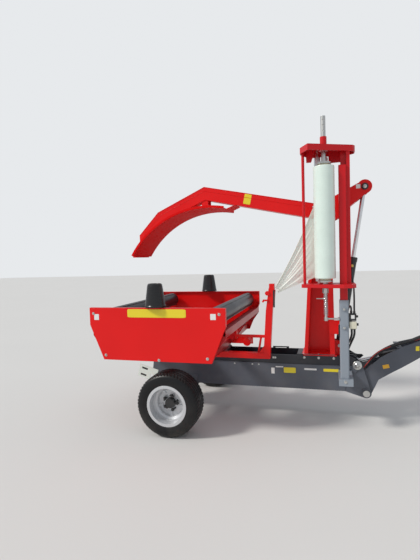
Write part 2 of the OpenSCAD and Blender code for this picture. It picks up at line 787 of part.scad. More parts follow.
module arm_boom() {
    near = arm_y - arm_w / 2;
    far = arm_y + arm_w / 2;
    color(red) row() {
        difference() {
            slab(arm_outline, near, far);
            slab(shrink(arm_outline, 6), near + 6, far - 6);
            rod_y(shoe_x, shoe_z, shoe_r + shoe_t, -200, 100, ring_fn);
            rod_y(arm_x, arm_z, 20 + fit, -200, 100);
            block([lever_x - 70, arm_y - 34, lever_z - 100], [lever_x + 100, arm_y + 34, lever_z + 90]);
            block([-380, near + 10, 1215], [-355, far - 10, 1440]);
        }
        for (y = [near + 6, far - 16])
            rod_y(lever_x, lever_z, 20, y, y + 10);
        for (y = [near - 10, far])
            rod_y(lever_x, lever_z, 20, y, y + (y < arm_y ? 10 : 6));
        for (y = [near + 6, far - 14])
            slab([[178, shoe_crown + shoe_t - 2.9], [180, 1690], [207, 1700], [232, 1696],
                  [232, shoe_crown + shoe_t + 0.4]], y, y + 8);
    }
}

module arm_shoe() {
    top = shoe_r + shoe_t;
    rim = shoe_r + shoe_edge;
    low = arm_y - shoe_w / 2;
    color(red) row() {
        translate([shoe_x, arm_y + shoe_w / 2, shoe_z]) rotate([90, 0, 0]) rotate([0, 0, shoe_start])
            rotate_extrude(angle = shoe_sweep, $fn = ring_fn)
                polygon([[shoe_r, 0], [rim, 0], [rim, 6], [top, 6], [top, shoe_w - 6], [rim, shoe_w - 6],
                         [rim, shoe_w], [shoe_r, shoe_w]]);
        slab([for (p = [[-0.34, 0.32], [75.66, 32.82], [71.66, 34.32], [-2.34, 7.32]]) shoe_end + p],
             arm_y - 90, arm_y + 90);
        block([shoe_tip[0] - 28.5, low + 60, shoe_tip[1] - 7.4],
              [shoe_tip[0] + 5.4, low + shoe_w - 60, shoe_tip[1] + 2.6]);
    }
}

module along(x0, z0, x1, z1) {
    translate([x0, arm_y, z0]) rotate([0, atan2(x1 - x0, z1 - z0), 0]) children();
}

// A cylinder's barrel from its foot: eye, body, gland and two ports on its near side.
module barrel(r, low, high, ports) {
    difference() {
        union() {
            translate([0, 0, low]) cylinder(h = high - low, r = r);
            translate([0, 0, high - 34]) cylinder(h = 30, r = r + 3);
            rotate([90, 0, 0]) translate([0, 0, -18]) cylinder(h = 36, r = 24);
            translate([-15, -15, 0]) cube([30, 30, low + 2]);
            for (z = ports)
                translate([-9, -r - 8, z - 10]) cube([18, 14, 20]);
        }
        translate([0, 0, low + 20]) cylinder(h = high, r = rod_r + fit);
        rotate([90, 0, 0]) translate([0, 0, -30]) cylinder(h = 60, r = small_pin_r + fit);
    }
}

// A cylinder's rod up to the eye and the short pin at its end.
module rod_and_eye(start, length, width, pin_half) {
    translate([0, 0, start]) cylinder(h = length - start, r = rod_r);
    translate([0, 0, length]) rotate([90, 0, 0]) {
        translate([0, 0, -width / 2]) cylinder(h = width, r = 25);
        translate([0, 0, -pin_half]) cylinder(h = 2 * pin_half, r = small_pin_r);
    }
}

module arm_barrel() {
    color(black) row() along(foot_x, foot_z, lever_x, lever_z) barrel(barrel_r, 40, 661, [100, 600]);
}

module arm_rod() {
    length = norm([lever_x - foot_x, lever_z - foot_z]);
    color(silver) row() along(foot_x, foot_z, lever_x, lever_z) rod_and_eye(560, length, 40, 33);
}

// Drawbar

draw_outline = [[knee_x - 59, 345], [1494, 486], [draw_fold_x, 565], [draw_fold_x, 418], [1563, 376],
                [1476, 321], [knee_x + 30, 200], [knee_x - 30, 200]];
taper = atan2(draw_half - tongue_half, tongue_x - draw_fold_x);
taper_length = norm([draw_half - tongue_half, tongue_x - draw_fold_x]);
taper_outline = [[0, 418], [0, 565], [taper_length / 2, 602], [taper_length, eye_z + 40],
                 [taper_length, eye_z - 40], [taper_length / 2, 481], [58, 449]];

module drawbar() {
    h = draw_half;
    k = tongue_half;
    color(grey) row() difference() {
        union() {
            for (s = [-1, 1]) {
                slab(draw_outline, min(s * h, s * (h - 8)), max(s * h, s * (h - 8)));
                translate([draw_fold_x, s * h, 0]) rotate([0, 0, -s * taper])
                    slab(taper_outline, min(0, -s * 8), max(0, -s * 8));
            }
            rod_y(knee_x, knee_z, 30, -h - 10, h + 10);
            slab([[1476, 321], [1476, 329], [1563, 384], [draw_fold_x, 426], [draw_fold_x, 418],
                  [1563, 376]], -h, h);
            block([1600, -h, 557], [draw_fold_x, h, 565]);
            block([tongue_x - 30, -k - 4, eye_z + 36], [tongue_x + 6, k + 4, eye_z + 44]);
            difference() {
                block([tongue_x - 16, -k, eye_z - 40], [tongue_end, k, eye_z + 40]);
                block([tongue_x - 17, -k + 8, eye_z - 32], [tongue_end + 1, k - 8, eye_z + 32]);
            }
            rod_y(draw_foot_x, draw_foot_z, small_pin_r, -62, 62);
            for (s = [-1, 1])
                rod_y(draw_foot_x, draw_foot_z, 20, min(s * 46, s * 64), max(s * 46, s * 64));
        }
        rod_y(knee_x, knee_z, pin_r + fit, -200, 200);
    }
}

module hitch_eye() {
    neck = eye_x - eye_ring - 13;
    color(grey) row() difference() {
        union() {
            rod_z(eye_x, 0, eye_ring, eye_z - 16, eye_z + 16);
            block([tongue_end, -50, eye_z - 50], [neck, 50, eye_z + 50]);
            block([neck, -32, eye_z - 16], [eye_x - eye_r - 5, 32, eye_z + 16]);
            slab([[neck, eye_z - 44], [neck, eye_z + 44], [neck + 34, eye_z + 16],
                  [neck + 34, eye_z - 16]], -6, 6);
        }
        rod_z(eye_x, 0, eye_r, eye_z - 60, eye_z + 60);
    }
}

module jack_tube() {
    top = jack_tube_top;
    color(grey) row() difference() {
        union() {
            rod_z(jack_x, jack_y, 30, jack_tube_low, top);
            rod_z(jack_x, jack_y, 33, top - 30, top);
            block([jack_x - 36, -46, eye_z - 40], [jack_x + 36, -tongue_half, eye_z + 40]);
            rod_z(jack_x, jack_y, 8, top, top + 26);
            block([jack_x - 9, jack_y - 9, top + 26], [jack_x + 96, jack_y + 9, top + 34]);
            rod_z(jack_x + 87, jack_y, 8, top + 34, top + 110);
        }
        rod_z(jack_x, jack_y, 24 + fit, jack_tube_low - 1, top - 20);
    }
}

module jack_leg() {
    color(silver) row() {
        rod_z(jack_x, jack_y, 24, 8, jack_tube_top - 30 - jack_travel);
        rod_z(jack_x, jack_y, 75, 0, 8);
    }
}

module draw_line() {
    translate([draw_foot_x, 0, draw_foot_z])
        rotate([0, atan2(upper_x - draw_foot_x, upper_z - draw_foot_z), 0]) children();
}

module draw_barrel() {
    color(black) row() draw_line() barrel(26, 30, 300, [56, 240]);
}

module draw_rod() {
    length = norm([upper_x - draw_foot_x, upper_z - draw_foot_z]);
    color(silver) row() draw_line() rod_and_eye(100, length, 44, 27);
}

module hoses_draw() {
    color(black) row() {
        for (k = [0 : 2])
            hose([[2110, -2 - 15 * k, 647.5], [1990, -4 - 15 * k, 647.5], [1900, -8 - 15 * k, 653],
                  [1825, -14 - 16 * k, 654], [1762, -22 - 16 * k, 630], [1700, -31 - 16 * k, 604],
                  [draw_fold_x, -38 - 17 * k, 584], [1572, -40 - 17 * k, 563],
                  [1500, -42 - 17 * k, 522], [1440, -44 - 17 * k, 472], [1400, -44 - 17 * k, 454]], 7, 3);
    }
}

main_beam();
axle();
slew_base();
light_plate();
column();
pivot_pins();
mast_socket();
mast_post();
mast_tube();
film_frame();
film_spindle();
film_sheet();
valve_block();
hoses_mast();
slew_hub();
table_frame();
panel_near();
panel_far();
cutter_post();
cutter_clamp();
roller_motor();
roller_front();
roller_rear();
cone_near();
cone_far();
tyre_near();
tyre_far();
rim_near();
rim_far();
hub_near();
hub_far();
film_roll();
stretch_front();
stretch_rear();
arm_boom();
arm_shoe();
arm_barrel();
arm_rod();
drawbar();
hitch_eye();
jack_tube();
jack_leg();
draw_barrel();
draw_rod();
hoses_draw();
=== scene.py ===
import math

import bpy
import numpy as np
from mathutils import Matrix


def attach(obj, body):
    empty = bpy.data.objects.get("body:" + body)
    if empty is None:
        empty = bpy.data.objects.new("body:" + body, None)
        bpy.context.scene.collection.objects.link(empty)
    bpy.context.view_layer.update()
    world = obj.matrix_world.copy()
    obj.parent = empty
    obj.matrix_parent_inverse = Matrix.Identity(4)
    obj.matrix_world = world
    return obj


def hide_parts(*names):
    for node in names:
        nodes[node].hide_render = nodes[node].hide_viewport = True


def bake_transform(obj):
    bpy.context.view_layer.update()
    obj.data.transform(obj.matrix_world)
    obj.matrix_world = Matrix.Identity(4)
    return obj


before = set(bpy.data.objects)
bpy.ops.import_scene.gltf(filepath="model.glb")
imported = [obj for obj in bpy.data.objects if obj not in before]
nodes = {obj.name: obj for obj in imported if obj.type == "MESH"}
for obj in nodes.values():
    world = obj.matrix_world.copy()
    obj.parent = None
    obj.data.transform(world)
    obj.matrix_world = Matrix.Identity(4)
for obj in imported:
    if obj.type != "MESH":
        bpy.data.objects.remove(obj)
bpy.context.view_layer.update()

shift = -0.885  # from the turntable's centre to the middle of the row frame, along the machine

print("camera")
# Solved from the photo's perspective: angles in radians, place in metres from the turntable's centre.
view = {"turn": 0.2819, "drop": 0.0502, "roll": -0.0296, "place": (1.1406, -3.2428, 1.2263), "lens": 26.4,
        "sensor": 36, "near": 0.05}


# Turn a and drop b give ahead = (-sin a cos b, cos a cos b, -sin b). Right and up are square to it, turned
# about it by the roll.
def placeCamera():
    turn, drop, roll = view["turn"], view["drop"], view["roll"]
    ahead = np.array([-math.sin(turn) * math.cos(drop), math.cos(turn) * math.cos(drop), -math.sin(drop)])
    level = np.array([math.cos(turn), math.sin(turn), 0.0])
    above = np.cross(level, ahead)
    pose = np.eye(4)
    pose[:3, 0] = math.cos(roll) * level + math.sin(roll) * above
    pose[:3, 1] = -math.sin(roll) * level + math.cos(roll) * above
    pose[:3, 2] = -ahead
    pose[:3, 3] = np.array(view["place"]) + [shift, 0, 0]
    data = bpy.data.cameras.new("camera")
    data.sensor_width = view["sensor"]
    data.lens = view["lens"]
    data.clip_start = view["near"]
    camera = bpy.data.objects.new("camera", data)
    camera.matrix_world = Matrix(pose.tolist())
    bpy.context.scene.collection.objects.link(camera)
    bpy.context.scene.camera = camera
    bpy.context.scene.view_settings.view_transform = "Standard"


placeCamera()


# Node trees

# Gives a node its inputs: a socket is linked, anything else is set as a value.
def feed(tree, made, values):
    for key, value in (values or {}).items():
        if isinstance(value, bpy.types.NodeSocket):
            tree.links.new(value, made.inputs[key])
        else:
            made.inputs[key].default_value = value
    return made


def addNode(tree, kind, values=None, **options):
    made = tree.nodes.new(kind)
    for key, value in options.items():
        setattr(made, key, value)
    return feed(tree, made, values)


def makeGroup(name, inputs, outputs):
    tree = bpy.data.node_groups.new(name, "ShaderNodeTree")
    for label, kind, value in inputs:
        socket = tree.interface.new_socket(label, in_out="INPUT", socket_type=kind)
        socket.default_value = value
    for label, kind in outputs:
        tree.interface.new_socket(label, in_out="OUTPUT", socket_type=kind)
    return tree, tree.nodes.new("NodeGroupInput").outputs, tree.nodes.new("NodeGroupOutput")


def useGroup(tree, name, values):
    made = tree.nodes.new("ShaderNodeGroup")
    made.node_tree = bpy.data.node_groups[name]
    return feed(tree, made, values)


def maths(tree, operation, a, b, clamp=False):
    return addNode(tree, "ShaderNodeMath", {0: a, 1: b}, operation=operation, use_clamp=clamp).outputs[0]


def mixColour(tree, factor, a, b):
    return addNode(tree, "ShaderNodeMix", {0: factor, 6: a, 7: b}, data_type="RGBA").outputs[2]


def spread(tree, value, low, high, to0=0.0, to1=1.0):
    return addNode(tree, "ShaderNodeMapRange", {0: value, 1: low, 2: high, 3: to0, 4: to1}).outputs[0]


def objectPlace(tree):
    return addNode(tree, "ShaderNodeTexCoord").outputs["Object"]


def heightOf(tree, place):
    return addNode(tree, "ShaderNodeSeparateXYZ", {0: place}).outputs[2]


def noise(tree, place, scale, detail, rough=0.5):
    values = {"Vector": place, "Scale": scale, "Detail": detail, "Roughness": rough}
    return addNode(tree, "ShaderNodeTexNoise", values).outputs[0]


# Roughness that follows a pattern from a little under the wanted value to a little over it.
noiseBand = (0.3, 0.7)  # where most of a noise texture's values lie


def uneven(tree, pattern, rough, under=0.05, over=0.08):
    return spread(tree, pattern, *noiseBand, rough - under, rough + over)


# Shared effects
number, vector, colourKind = "NodeSocketFloat", "NodeSocketVector", "NodeSocketColor"

# Fine bumps over a surface, on top of the normal that comes in.
grainLook = {"detail": 4.0, "depth": 0.001}


def makeGrain():
    inputs = [("Scale", number, 300.0), ("Strength", number, 0.2), ("Normal", vector, (0, 0, 0))]
    tree, given, out = makeGroup("grain", inputs, [("Value", number), ("Normal", vector)])
    field = noise(tree, objectPlace(tree), given["Scale"], grainLook["detail"])
    bump = addNode(tree, "ShaderNodeBump", {"Strength": given["Strength"], "Distance": grainLook["depth"],
                                            "Height": field, "Normal": given["Normal"]})
    tree.links.new(field, out.inputs["Value"])
    tree.links.new(bump.outputs[0], out.inputs["Normal"])


# Rounded edges, and a mask along them broken up by noise.
edgeLook = {"samples": 4, "bend": (0.02, 0.12), "scale": 38.0, "detail": 6.0, "broken": (0.5, 0.62)}


def makeEdge():
    inputs = [("Radius", number, 0.003), ("Amount", number, 0.3)]
    tree, given, out = makeGroup("edge", inputs, [("Mask", number), ("Normal", vector)])
    rounded = addNode(tree, "ShaderNodeBevel", {"Radius": given["Radius"]}, samples=edgeLook["samples"])
    flat = addNode(tree, "ShaderNodeNewGeometry").outputs["Normal"]
    same = addNode(tree, "ShaderNodeVectorMath", {0: rounded.outputs[0], 1: flat}, operation="DOT_PRODUCT")
    bend = spread(tree, maths(tree, "SUBTRACT", 1.0, same.outputs["Value"]), *edgeLook["bend"])
    field = noise(tree, objectPlace(tree), edgeLook["scale"], edgeLook["detail"])
    mask = maths(tree, "MULTIPLY", bend, spread(tree, field, *edgeLook["broken"]))
    tree.links.new(maths(tree, "MULTIPLY", mask, given["Amount"], True), out.inputs["Mask"])
    tree.links.new(rounded.outputs[0], out.inputs["Normal"])


# Dust: on what faces up, and splashes below a height, both in patches.
dustLook = {"colour": (0.33, 0.29, 0.24, 1), "facing": (0.5, 1.0), "lying": 0.6, "scale": 7.0, "detail": 8.0,
            "rough": 0.65, "patches": (0.4, 0.7)}


def makeDust():
    inputs = [("Amount", number, 0.3), ("Height", number, 0.5)]
    tree, given, out = makeGroup("dust", inputs, [("Mask", number)])
    place = objectPlace(tree)
    up = heightOf(tree, addNode(tree, "ShaderNodeNewGeometry").outputs["Normal"])
    lying = maths(tree, "MULTIPLY", spread(tree, up, *dustLook["facing"]), dustLook["lying"])
    below = maths(tree, "SUBTRACT", given["Height"], heightOf(tree, place))
    splashed = maths(tree, "DIVIDE", below, given["Height"], True)
    coarse = noise(tree, place, dustLook["scale"], dustLook["detail"], dustLook["rough"])
    both = maths(tree, "ADD", lying, splashed, True)
    patchy = maths(tree, "MULTIPLY", both, spread(tree, coarse, *dustLook["patches"]))
    tree.links.new(maths(tree, "MULTIPLY", patchy, given["Amount"], True), out.inputs["Mask"])


# A colour made a little lighter and darker in soft patches.
toneLook = {"detail": 5.0, "middle": 0.5}


def makeTone():
    inputs = [("Colour", colourKind, (1, 1, 1, 1)), ("Scale", number, 3.0), ("Amount", number, 0.1)]
    tree, given, out = makeGroup("tone", inputs, [("Colour", colourKind), ("Value", number)])
    field = noise(tree, objectPlace(tree), given["Scale"], toneLook["detail"])
    change = maths(tree, "MULTIPLY", maths(tree, "SUBTRACT", field, toneLook["middle"]), given["Amount"])
    shade = addNode(tree, "ShaderNodeHueSaturation", {"Value": maths(tree, "ADD", change, 1.0),
                                                      "Color": given["Colour"]})
    tree.links.new(shade.outputs[0], out.inputs["Colour"])
    tree.links.new(field, out.inputs["Value"])


# Thin marks drawn out along one axis, as by rubbing or turning.
streakLook = {"detail": 3.0}


def makeStreaks():
    inputs = [("Stretch", vector, (1, 0.02, 1)), ("Scale", number, 200.0)]
    tree, given, out = makeGroup("streaks", inputs, [("Value", number)])
    drawn = addNode(tree, "ShaderNodeMapping", {"Vector": objectPlace(tree), "Scale": given["Stretch"]})
    field = noise(tree, drawn.outputs[0], given["Scale"], streakLook["detail"])
    tree.links.new(field, out.inputs["Value"])


for makeEffect in (makeGrain, makeEdge, makeDust, makeTone, makeStreaks):
    makeEffect()


# Materials
materials = {}


def startMaterial(name):
    made = bpy.data.materials.new(name)
    made.use_nodes = True
    materials[name] = made
    return made.node_tree, made.node_tree.nodes["Principled BSDF"]


# Paint on metal: edges worn down to a dark metal, and dust. In a call, dust and wear are amounts from 0 to 1,
# and over is a height in metres with the colour above it.
paintLook = {"edge": 0.003, "bare": (0.09, 0.085, 0.08, 1), "grain": 420.0, "bumps": 0.06, "tone": 0.16,
             "splash": 0.55, "dull": 0.5, "coatRough": 0.12, "border": 0.001}


def paint(name, colour, rough, coat, dust, wear=0.35, metallic=0.0, shine=0.5, over=None):
    tree, shader = startMaterial(name)
    edge = useGroup(tree, "edge", {"Radius": paintLook["edge"], "Amount": wear})
    grain = useGroup(tree, "grain", {"Scale": paintLook["grain"], "Strength": paintLook["bumps"],
                                     "Normal": edge.outputs["Normal"]})
    base = (*colour, 1)
    if over:
        step = spread(tree, heightOf(tree, objectPlace(tree)), over[0], over[0] + paintLook["border"])
        base = mixColour(tree, step, base, (*over[1], 1))
    tone = useGroup(tree, "tone", {"Colour": base, "Amount": paintLook["tone"]})
    dirt = useGroup(tree, "dust", {"Amount": dust, "Height": paintLook["splash"]})
    worn = mixColour(tree, edge.outputs["Mask"], tone.outputs["Colour"], paintLook["bare"])
    dusted = mixColour(tree, dirt.outputs["Mask"], worn, dustLook["colour"])
    dull = maths(tree, "MULTIPLY", dirt.outputs["Mask"], paintLook["dull"])
    roughness = maths(tree, "ADD", uneven(tree, tone.outputs["Value"], rough), dull, True)
    feed(tree, shader, {"Base Color": dusted, "Normal": grain.outputs["Normal"], "Roughness": roughness,
                        "Coat Weight": coat, "Coat Roughness": paintLook["coatRough"],
                        "Metallic": metallic, "Specular IOR Level": shine})


# Bare metal, rubbed along one axis.
metalLook = {"edge": 0.0015, "stretch": (1, 1, 0.03), "lines": 260.0, "height": 0.0006, "toneScale": 22.0,
             "tone": 0.25, "dust": 0.25, "splash": 0.4}


def metal(name, colour, rough, depth=0.08):
    tree, shader = startMaterial(name)
    edge = useGroup(tree, "edge", {"Radius": metalLook["edge"], "Amount": 0.0})
    lines = useGroup(tree, "streaks", {"Stretch": metalLook["stretch"], "Scale": metalLook["lines"]})
    bump = addNode(tree, "ShaderNodeBump", {
        "Strength": depth, "Distance": metalLook["height"], "Height": lines.outputs["Value"],
        "Normal": edge.outputs["Normal"]})
    tone = useGroup(tree, "tone", {"Colour": (*colour, 1), "Scale": metalLook["toneScale"],
                                   "Amount": metalLook["tone"]})
    dirt = useGroup(tree, "dust", {"Amount": metalLook["dust"], "Height": metalLook["splash"]})
    dusted = mixColour(tree, dirt.outputs["Mask"], tone.outputs["Colour"], dustLook["colour"])
    feed(tree, shader, {"Base Color": dusted, "Normal": bump.outputs[0], "Metallic": 1.0,
                        "Roughness": uneven(tree, lines.outputs["Value"], rough, under=0.06, over=0.1)})


# Rubber and plastic with a moulded grain, given as its scale and depth; splash is the height in metres up to
# which dust is splashed.
mouldedLook = {"edge": 0.002, "toneScale": 9.0, "tone": 0.2}


def moulded(name, colour, rough, grain, depth, dust, splash=0.5, shine=0.5):
    tree, shader = startMaterial(name)
    edge = useGroup(tree, "edge", {"Radius": mouldedLook["edge"]})
    bumps = useGroup(tree, "grain", {"Scale": grain, "Strength": depth, "Normal": edge.outputs["Normal"]})
    tone = useGroup(tree, "tone", {"Colour": (*colour, 1), "Scale": mouldedLook["toneScale"],
                                   "Amount": mouldedLook["tone"]})
    dirt = useGroup(tree, "dust", {"Amount": dust, "Height": splash})
    dusted = mixColour(tree, dirt.outputs["Mask"], tone.outputs["Colour"], dustLook["colour"])
    feed(tree, shader, {"Base Color": dusted, "Normal": bumps.outputs["Normal"],
                        "Roughness": uneven(tree, bumps.outputs["Value"], rough),
                        "Specular IOR Level": shine})


print("materials")
paint("chassisPaint", (0.075, 0.085, 0.11), rough=0.42, coat=0.1, dust=0.25)
paint("beamPaint", (0.085, 0.095, 0.12), rough=0.42, coat=0.1, dust=0.25,
      over=(0.4175, (0.010, 0.012, 0.020)))
paint("valvePaint", (0.014, 0.014, 0.016), rough=0.33, coat=0.2, dust=0.1, wear=0.1)
paint("creamPaint", (0.72, 0.69, 0.55), rough=0.4, coat=0.1, dust=0.1, wear=0.1)
paint("postPaint", (0.27, 0.31, 0.36), rough=0.4, coat=0.12, dust=0.15)
paint("redPaint", (0.78, 0.005, 0.005), rough=0.34, coat=0.12, dust=0.05, wear=0.12, shine=0.24)
paint("shoePaint", (0.74, 0.005, 0.005), rough=0.62, coat=0.0, dust=0.04, wear=0.12, shine=0.08)
# A darker copy of redPaint: painted shade on the table's frame and hub, which carry the same red paint.
paint("shadedRed", (0.42, 0.005, 0.008), rough=0.36, coat=0.14, dust=0.08, wear=0.16, shine=0.3)
paint("frameRed", (0.60, 0.005, 0.010), rough=0.34, coat=0.14, dust=0.05, wear=0.12, shine=0.3)
paint("whitePaint", (0.80, 0.86, 0.80), rough=0.4, coat=0.1, dust=0.0, wear=0.0)
paint("rollerPaint", (0.020, 0.021, 0.025), rough=0.32, coat=0.1, dust=0.04, wear=0.04, shine=0.35)
paint("blackPaint", (0.014, 0.014, 0.016), rough=0.33, coat=0.3, dust=0.15, wear=0.15)
paint("rimSilver", (0.62, 0.63, 0.65), rough=0.34, coat=0.2, dust=0.15, wear=0.1, metallic=0.3)
metal("zincSteel", (0.6, 0.6, 0.58), 0.34)
metal("rodChrome", (0.8, 0.81, 0.82), 0.12, depth=0.02)
metal("aluminium", (0.75, 0.76, 0.77), 0.28)
moulded("hoseRubber", (0.018, 0.018, 0.019), rough=0.42, grain=900.0, depth=0.2, dust=0.12)
moulded("conePlastic", (0.012, 0.012, 0.013), rough=0.26, grain=320.0, depth=0.14, dust=0.12, splash=0.2)
moulded("tyreRubber", (0.007, 0.007, 0.008), rough=0.36, grain=260.0, depth=0.25, dust=0.12, splash=0.3,
        shine=0.32)
moulded("filmWhite", (0.74, 0.86, 0.79), rough=0.2, grain=120.0, depth=0.08, dust=0.0)
moulded("redWire", (0.6, 0.03, 0.02), rough=0.4, grain=900.0, depth=0.1, dust=0.1)
paint("yellowFoil", (0.85, 0.68, 0.02), rough=0.4, coat=0.2, dust=0.12, wear=0.0)
paint("amberFoil", (0.80, 0.42, 0.02), rough=0.4, coat=0.2, dust=0.12, wear=0.0)
paint("whiteFoil", (0.80, 0.80, 0.78), rough=0.4, coat=0.2, dust=0.15, wear=0.0)
metal("yellowFitting", (0.72, 0.55, 0.16), 0.3)
moulded("creamCore", (0.72, 0.68, 0.52), rough=0.55, grain=500.0, depth=0.3, dust=0.05)

# Stretched film: light goes partly straight through, partly is scattered. The mesh carries how dense and how
# bright the film is at each point, with painted shade on one side of each fold, and a flow map whose first
# axis runs along the folds.
thinFilm = {"stretch": (2.2, 46.0, 1.0), "scale": 2.4, "detail": 4.0, "dark": (0.68, 0.75, 0.62, 1),
            "light": (0.98, 1.0, 0.93, 1), "bumps": 0.2, "height": 0.001, "rough": 0.34, "scattered": 0.08,
            "through": (0.97, 0.98, 0.95, 1), "clear": (0.96, 0.97, 0.95, 1),
            "lineTone": (0.3, 0.6, 0.9, 1.0), "lineDensity": (0.3, 0.5, 0.98, 1.0)}


def makeThinFilm():
    tree, shader = startMaterial("filmThin")
    attribute = addNode(tree, "ShaderNodeAttribute", attribute_name="film").outputs["Color"]
    density, brightness = addNode(tree, "ShaderNodeSeparateColor", {0: attribute}).outputs[:2]
    flow = addNode(tree, "ShaderNodeUVMap", uv_map="flow").outputs[0]
    drawn = addNode(tree, "ShaderNodeMapping", {"Vector": flow, "Scale": thinFilm["stretch"]}).outputs[0]
    lines = noise(tree, drawn, thinFilm["scale"], thinFilm["detail"])
    # The mesh's brightness, with its painted shade on the folds, times fine lines along the folds.
    bright = maths(tree, "MULTIPLY", brightness, spread(tree, lines, *thinFilm["lineTone"]))
    dense = maths(tree, "MULTIPLY", density, spread(tree, lines, *thinFilm["lineDensity"]), True)
    bump = addNode(tree, "ShaderNodeBump", {"Strength": thinFilm["bumps"], "Distance": thinFilm["height"],
                                            "Height": lines})
    feed(tree, shader, {"Base Color": mixColour(tree, bright, thinFilm["dark"], thinFilm["light"]),
                        "Normal": bump.outputs[0], "Roughness": thinFilm["rough"]})
    through = addNode(tree, "ShaderNodeBsdfTranslucent", {"Color": thinFilm["through"]})
    clear = addNode(tree, "ShaderNodeBsdfTransparent", {"Color": thinFilm["clear"]})
    body = addNode(tree, "ShaderNodeMixShader", {0: thinFilm["scattered"], 1: shader.outputs[0],
                                                 2: through.outputs[0]})
    whole = addNode(tree, "ShaderNodeMixShader", {0: dense, 1: clear.outputs[0], 2: body.outputs[0]})
    tree.links.new(whole.outputs[0], tree.nodes["Material Output"].inputs["Surface"])


makeThinFilm()

# The finish of each CAD node.
finishes = {
    "beamPaint": ["main_beam"],
    "chassisPaint": ["axle", "slew_base", "drawbar", "hitch_eye", "jack_tube"],
    "whitePaint": ["light_plate"],
    # Painted shade: the table's frame and hub get the darker copy of the red paint.
    "shadedRed": ["table_frame", "slew_hub"],
    "frameRed": ["film_frame", "mast_tube"],
    "redPaint": ["panel_near", "panel_far", "arm_boom", "cutter_post", "cutter_clamp", "column",
                 "roller_motor"],
    "shoePaint": ["arm_shoe"],
    "zincSteel": ["pivot_pins", "film_spindle", "jack_leg"],
    "postPaint": ["mast_post", "mast_socket"],
    "filmWhite": ["film_roll", "film_sheet"],
    "valvePaint": ["valve_block"],
    "blackPaint": ["arm_barrel", "draw_barrel", "hub_near", "hub_far"],
    "hoseRubber": ["hoses_mast", "hoses_draw"],
    "rollerPaint": ["roller_front", "roller_rear"],
    "conePlastic": ["cone_near", "cone_far"],
    "tyreRubber": ["tyre_near", "tyre_far"],
    "rimSilver": ["rim_near", "rim_far"],
    "aluminium": ["stretch_front", "stretch_rear"],
    "rodChrome": ["arm_rod", "draw_rod"],
}
for finish, members in finishes.items():
    for member in members:
        data = nodes[member].data
        for index in range(len(data.materials)):
            data.materials[index] = materials[finish]


# Surfaces

# Millimetres from the turntable's centre become metres in the row frame.
def machine(points):
    return np.asarray(points, float) / 1000 + [shift, 0, 0]


def meshPiece(name, points, faces, material, body, smooth=True):
    data = bpy.data.meshes.new(name)
    points = np.asarray(points, np.float32).reshape(-1, 3)
    faces = np.asarray(faces, np.int32)
    data.vertices.add(len(points))
    data.vertices.foreach_set("co", points.ravel())
    data.loops.add(faces.size)
    data.loops.foreach_set("vertex_index", faces.ravel())
    data.polygons.add(len(faces))
    data.polygons.foreach_set("loop_start", np.arange(len(faces), dtype=np.int32) * faces.shape[1])
    data.polygons.foreach_set("use_smooth", np.full(len(faces), smooth))
    data.materials.append(materials[material])
    data.update(calc_edges=True)
    made = bpy.data.objects.new(name, data)
    bpy.context.scene.collection.objects.link(made)
    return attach(made, body) if body else made


# Quads of a grid of rows by columns, closed round where asked.
def gridFaces(rows, columns, closedRows=False, closedColumns=False):
    r, c = np.meshgrid(np.arange(rows if closedRows else rows - 1),
                       np.arange(columns if closedColumns else columns - 1), indexing="ij")
    r1, c1 = (r + 1) % rows, (c + 1) % columns
    quads = [r * columns + c, r * columns + c1, r1 * columns + c1, r1 * columns + c]
    return np.stack(quads, -1).reshape(-1, 4)


# Faces of a grid that is closed round in its columns, with both end rings filled by quads
# (k, k + 1, n - 2 - k, n - 1 - k).
def shellFaces(rows, columns):
    k = np.arange(columns // 2 - 1)
    cap = np.stack([k, k + 1, columns - 2 - k, columns - 1 - k], -1)
    return np.vstack([gridFaces(rows, columns, closedColumns=True), cap[:, ::-1], cap + (rows - 1) * columns])


def joinParts(parts):
    points, faces, start = [], [], 0
    for grid, face in parts:
        grid = np.asarray(grid, float).reshape(-1, 3)
        points.append(grid)
        faces.append(np.asarray(face) + start)
        start += len(grid)
    return np.vstack(points), np.vstack(faces)


# Catmull-Rom: p(t) = half of 2b + (c - a) t + (2a - 5b + 4c - d) t^2 + (3b - 3c + d - a) t^3 between b and c.
def smooth(points, steps):
    p = np.asarray(points, float)
    a, b, c, d = np.vstack([p[:1], p[:-2]]), p[:-1], p[1:], np.vstack([p[2:], p[-1:]])
    a, b, c, d = a[:, None], b[:, None], c[:, None], d[:, None]
    t = np.arange(steps)[None, :, None] / steps
    square, cube = 2 * a - 5 * b + 4 * c - d, 3 * b - 3 * c + d - a
    curve = (2 * b + (c - a) * t + square * t ** 2 + cube * t ** 3) / 2
    return np.vstack([curve.reshape(-1, 3), p[-1:]])


# Point = path + radius (cos q u + sin q v), u and v square to the path. Each end draws in over a shoulder to
# a tip, as shares of the radius, and is filled.
tubeForm ={"aside": (0.1, 1, 0.05), "shoulder": 0.8, "tip": 0.02}  # no tube runs along aside


def tube(path, radius, sides, wave=None):
    path = np.asarray(path, float)
    way = np.gradient(path, axis=0)
    way /= np.linalg.norm(way, axis=1)[:, None]
    u = np.cross(way, tubeForm["aside"])
    u /= np.linalg.norm(u, axis=1)[:, None]
    v = np.cross(way, u)
    size = np.full(len(path), float(radius)) if wave is None else radius * wave
    ends = [radius * tubeForm["tip"], radius * tubeForm["shoulder"]]
    size = np.concatenate([ends, size, ends[::-1]])
    path, u, v = (np.vstack([k[:1], k[:1], k, k[-1:], k[-1:]]) for k in (path, u, v))
    q = np.arange(sides) * 2 * np.pi / sides
    ring = np.cos(q)[None, :, None] * u[:, None] + np.sin(q)[None, :, None] * v[:, None]
    grid = path[:, None] + size[:, None, None] * ring
    return grid, shellFaces(len(grid), sides)


def tubes(name, paths, radius, material, body, steps=8, sides=14):
    points, faces = joinParts([tube(smooth(machine(path), steps), radius, sides) for path in paths])
    return meshPiece(name, points, faces, material, body)


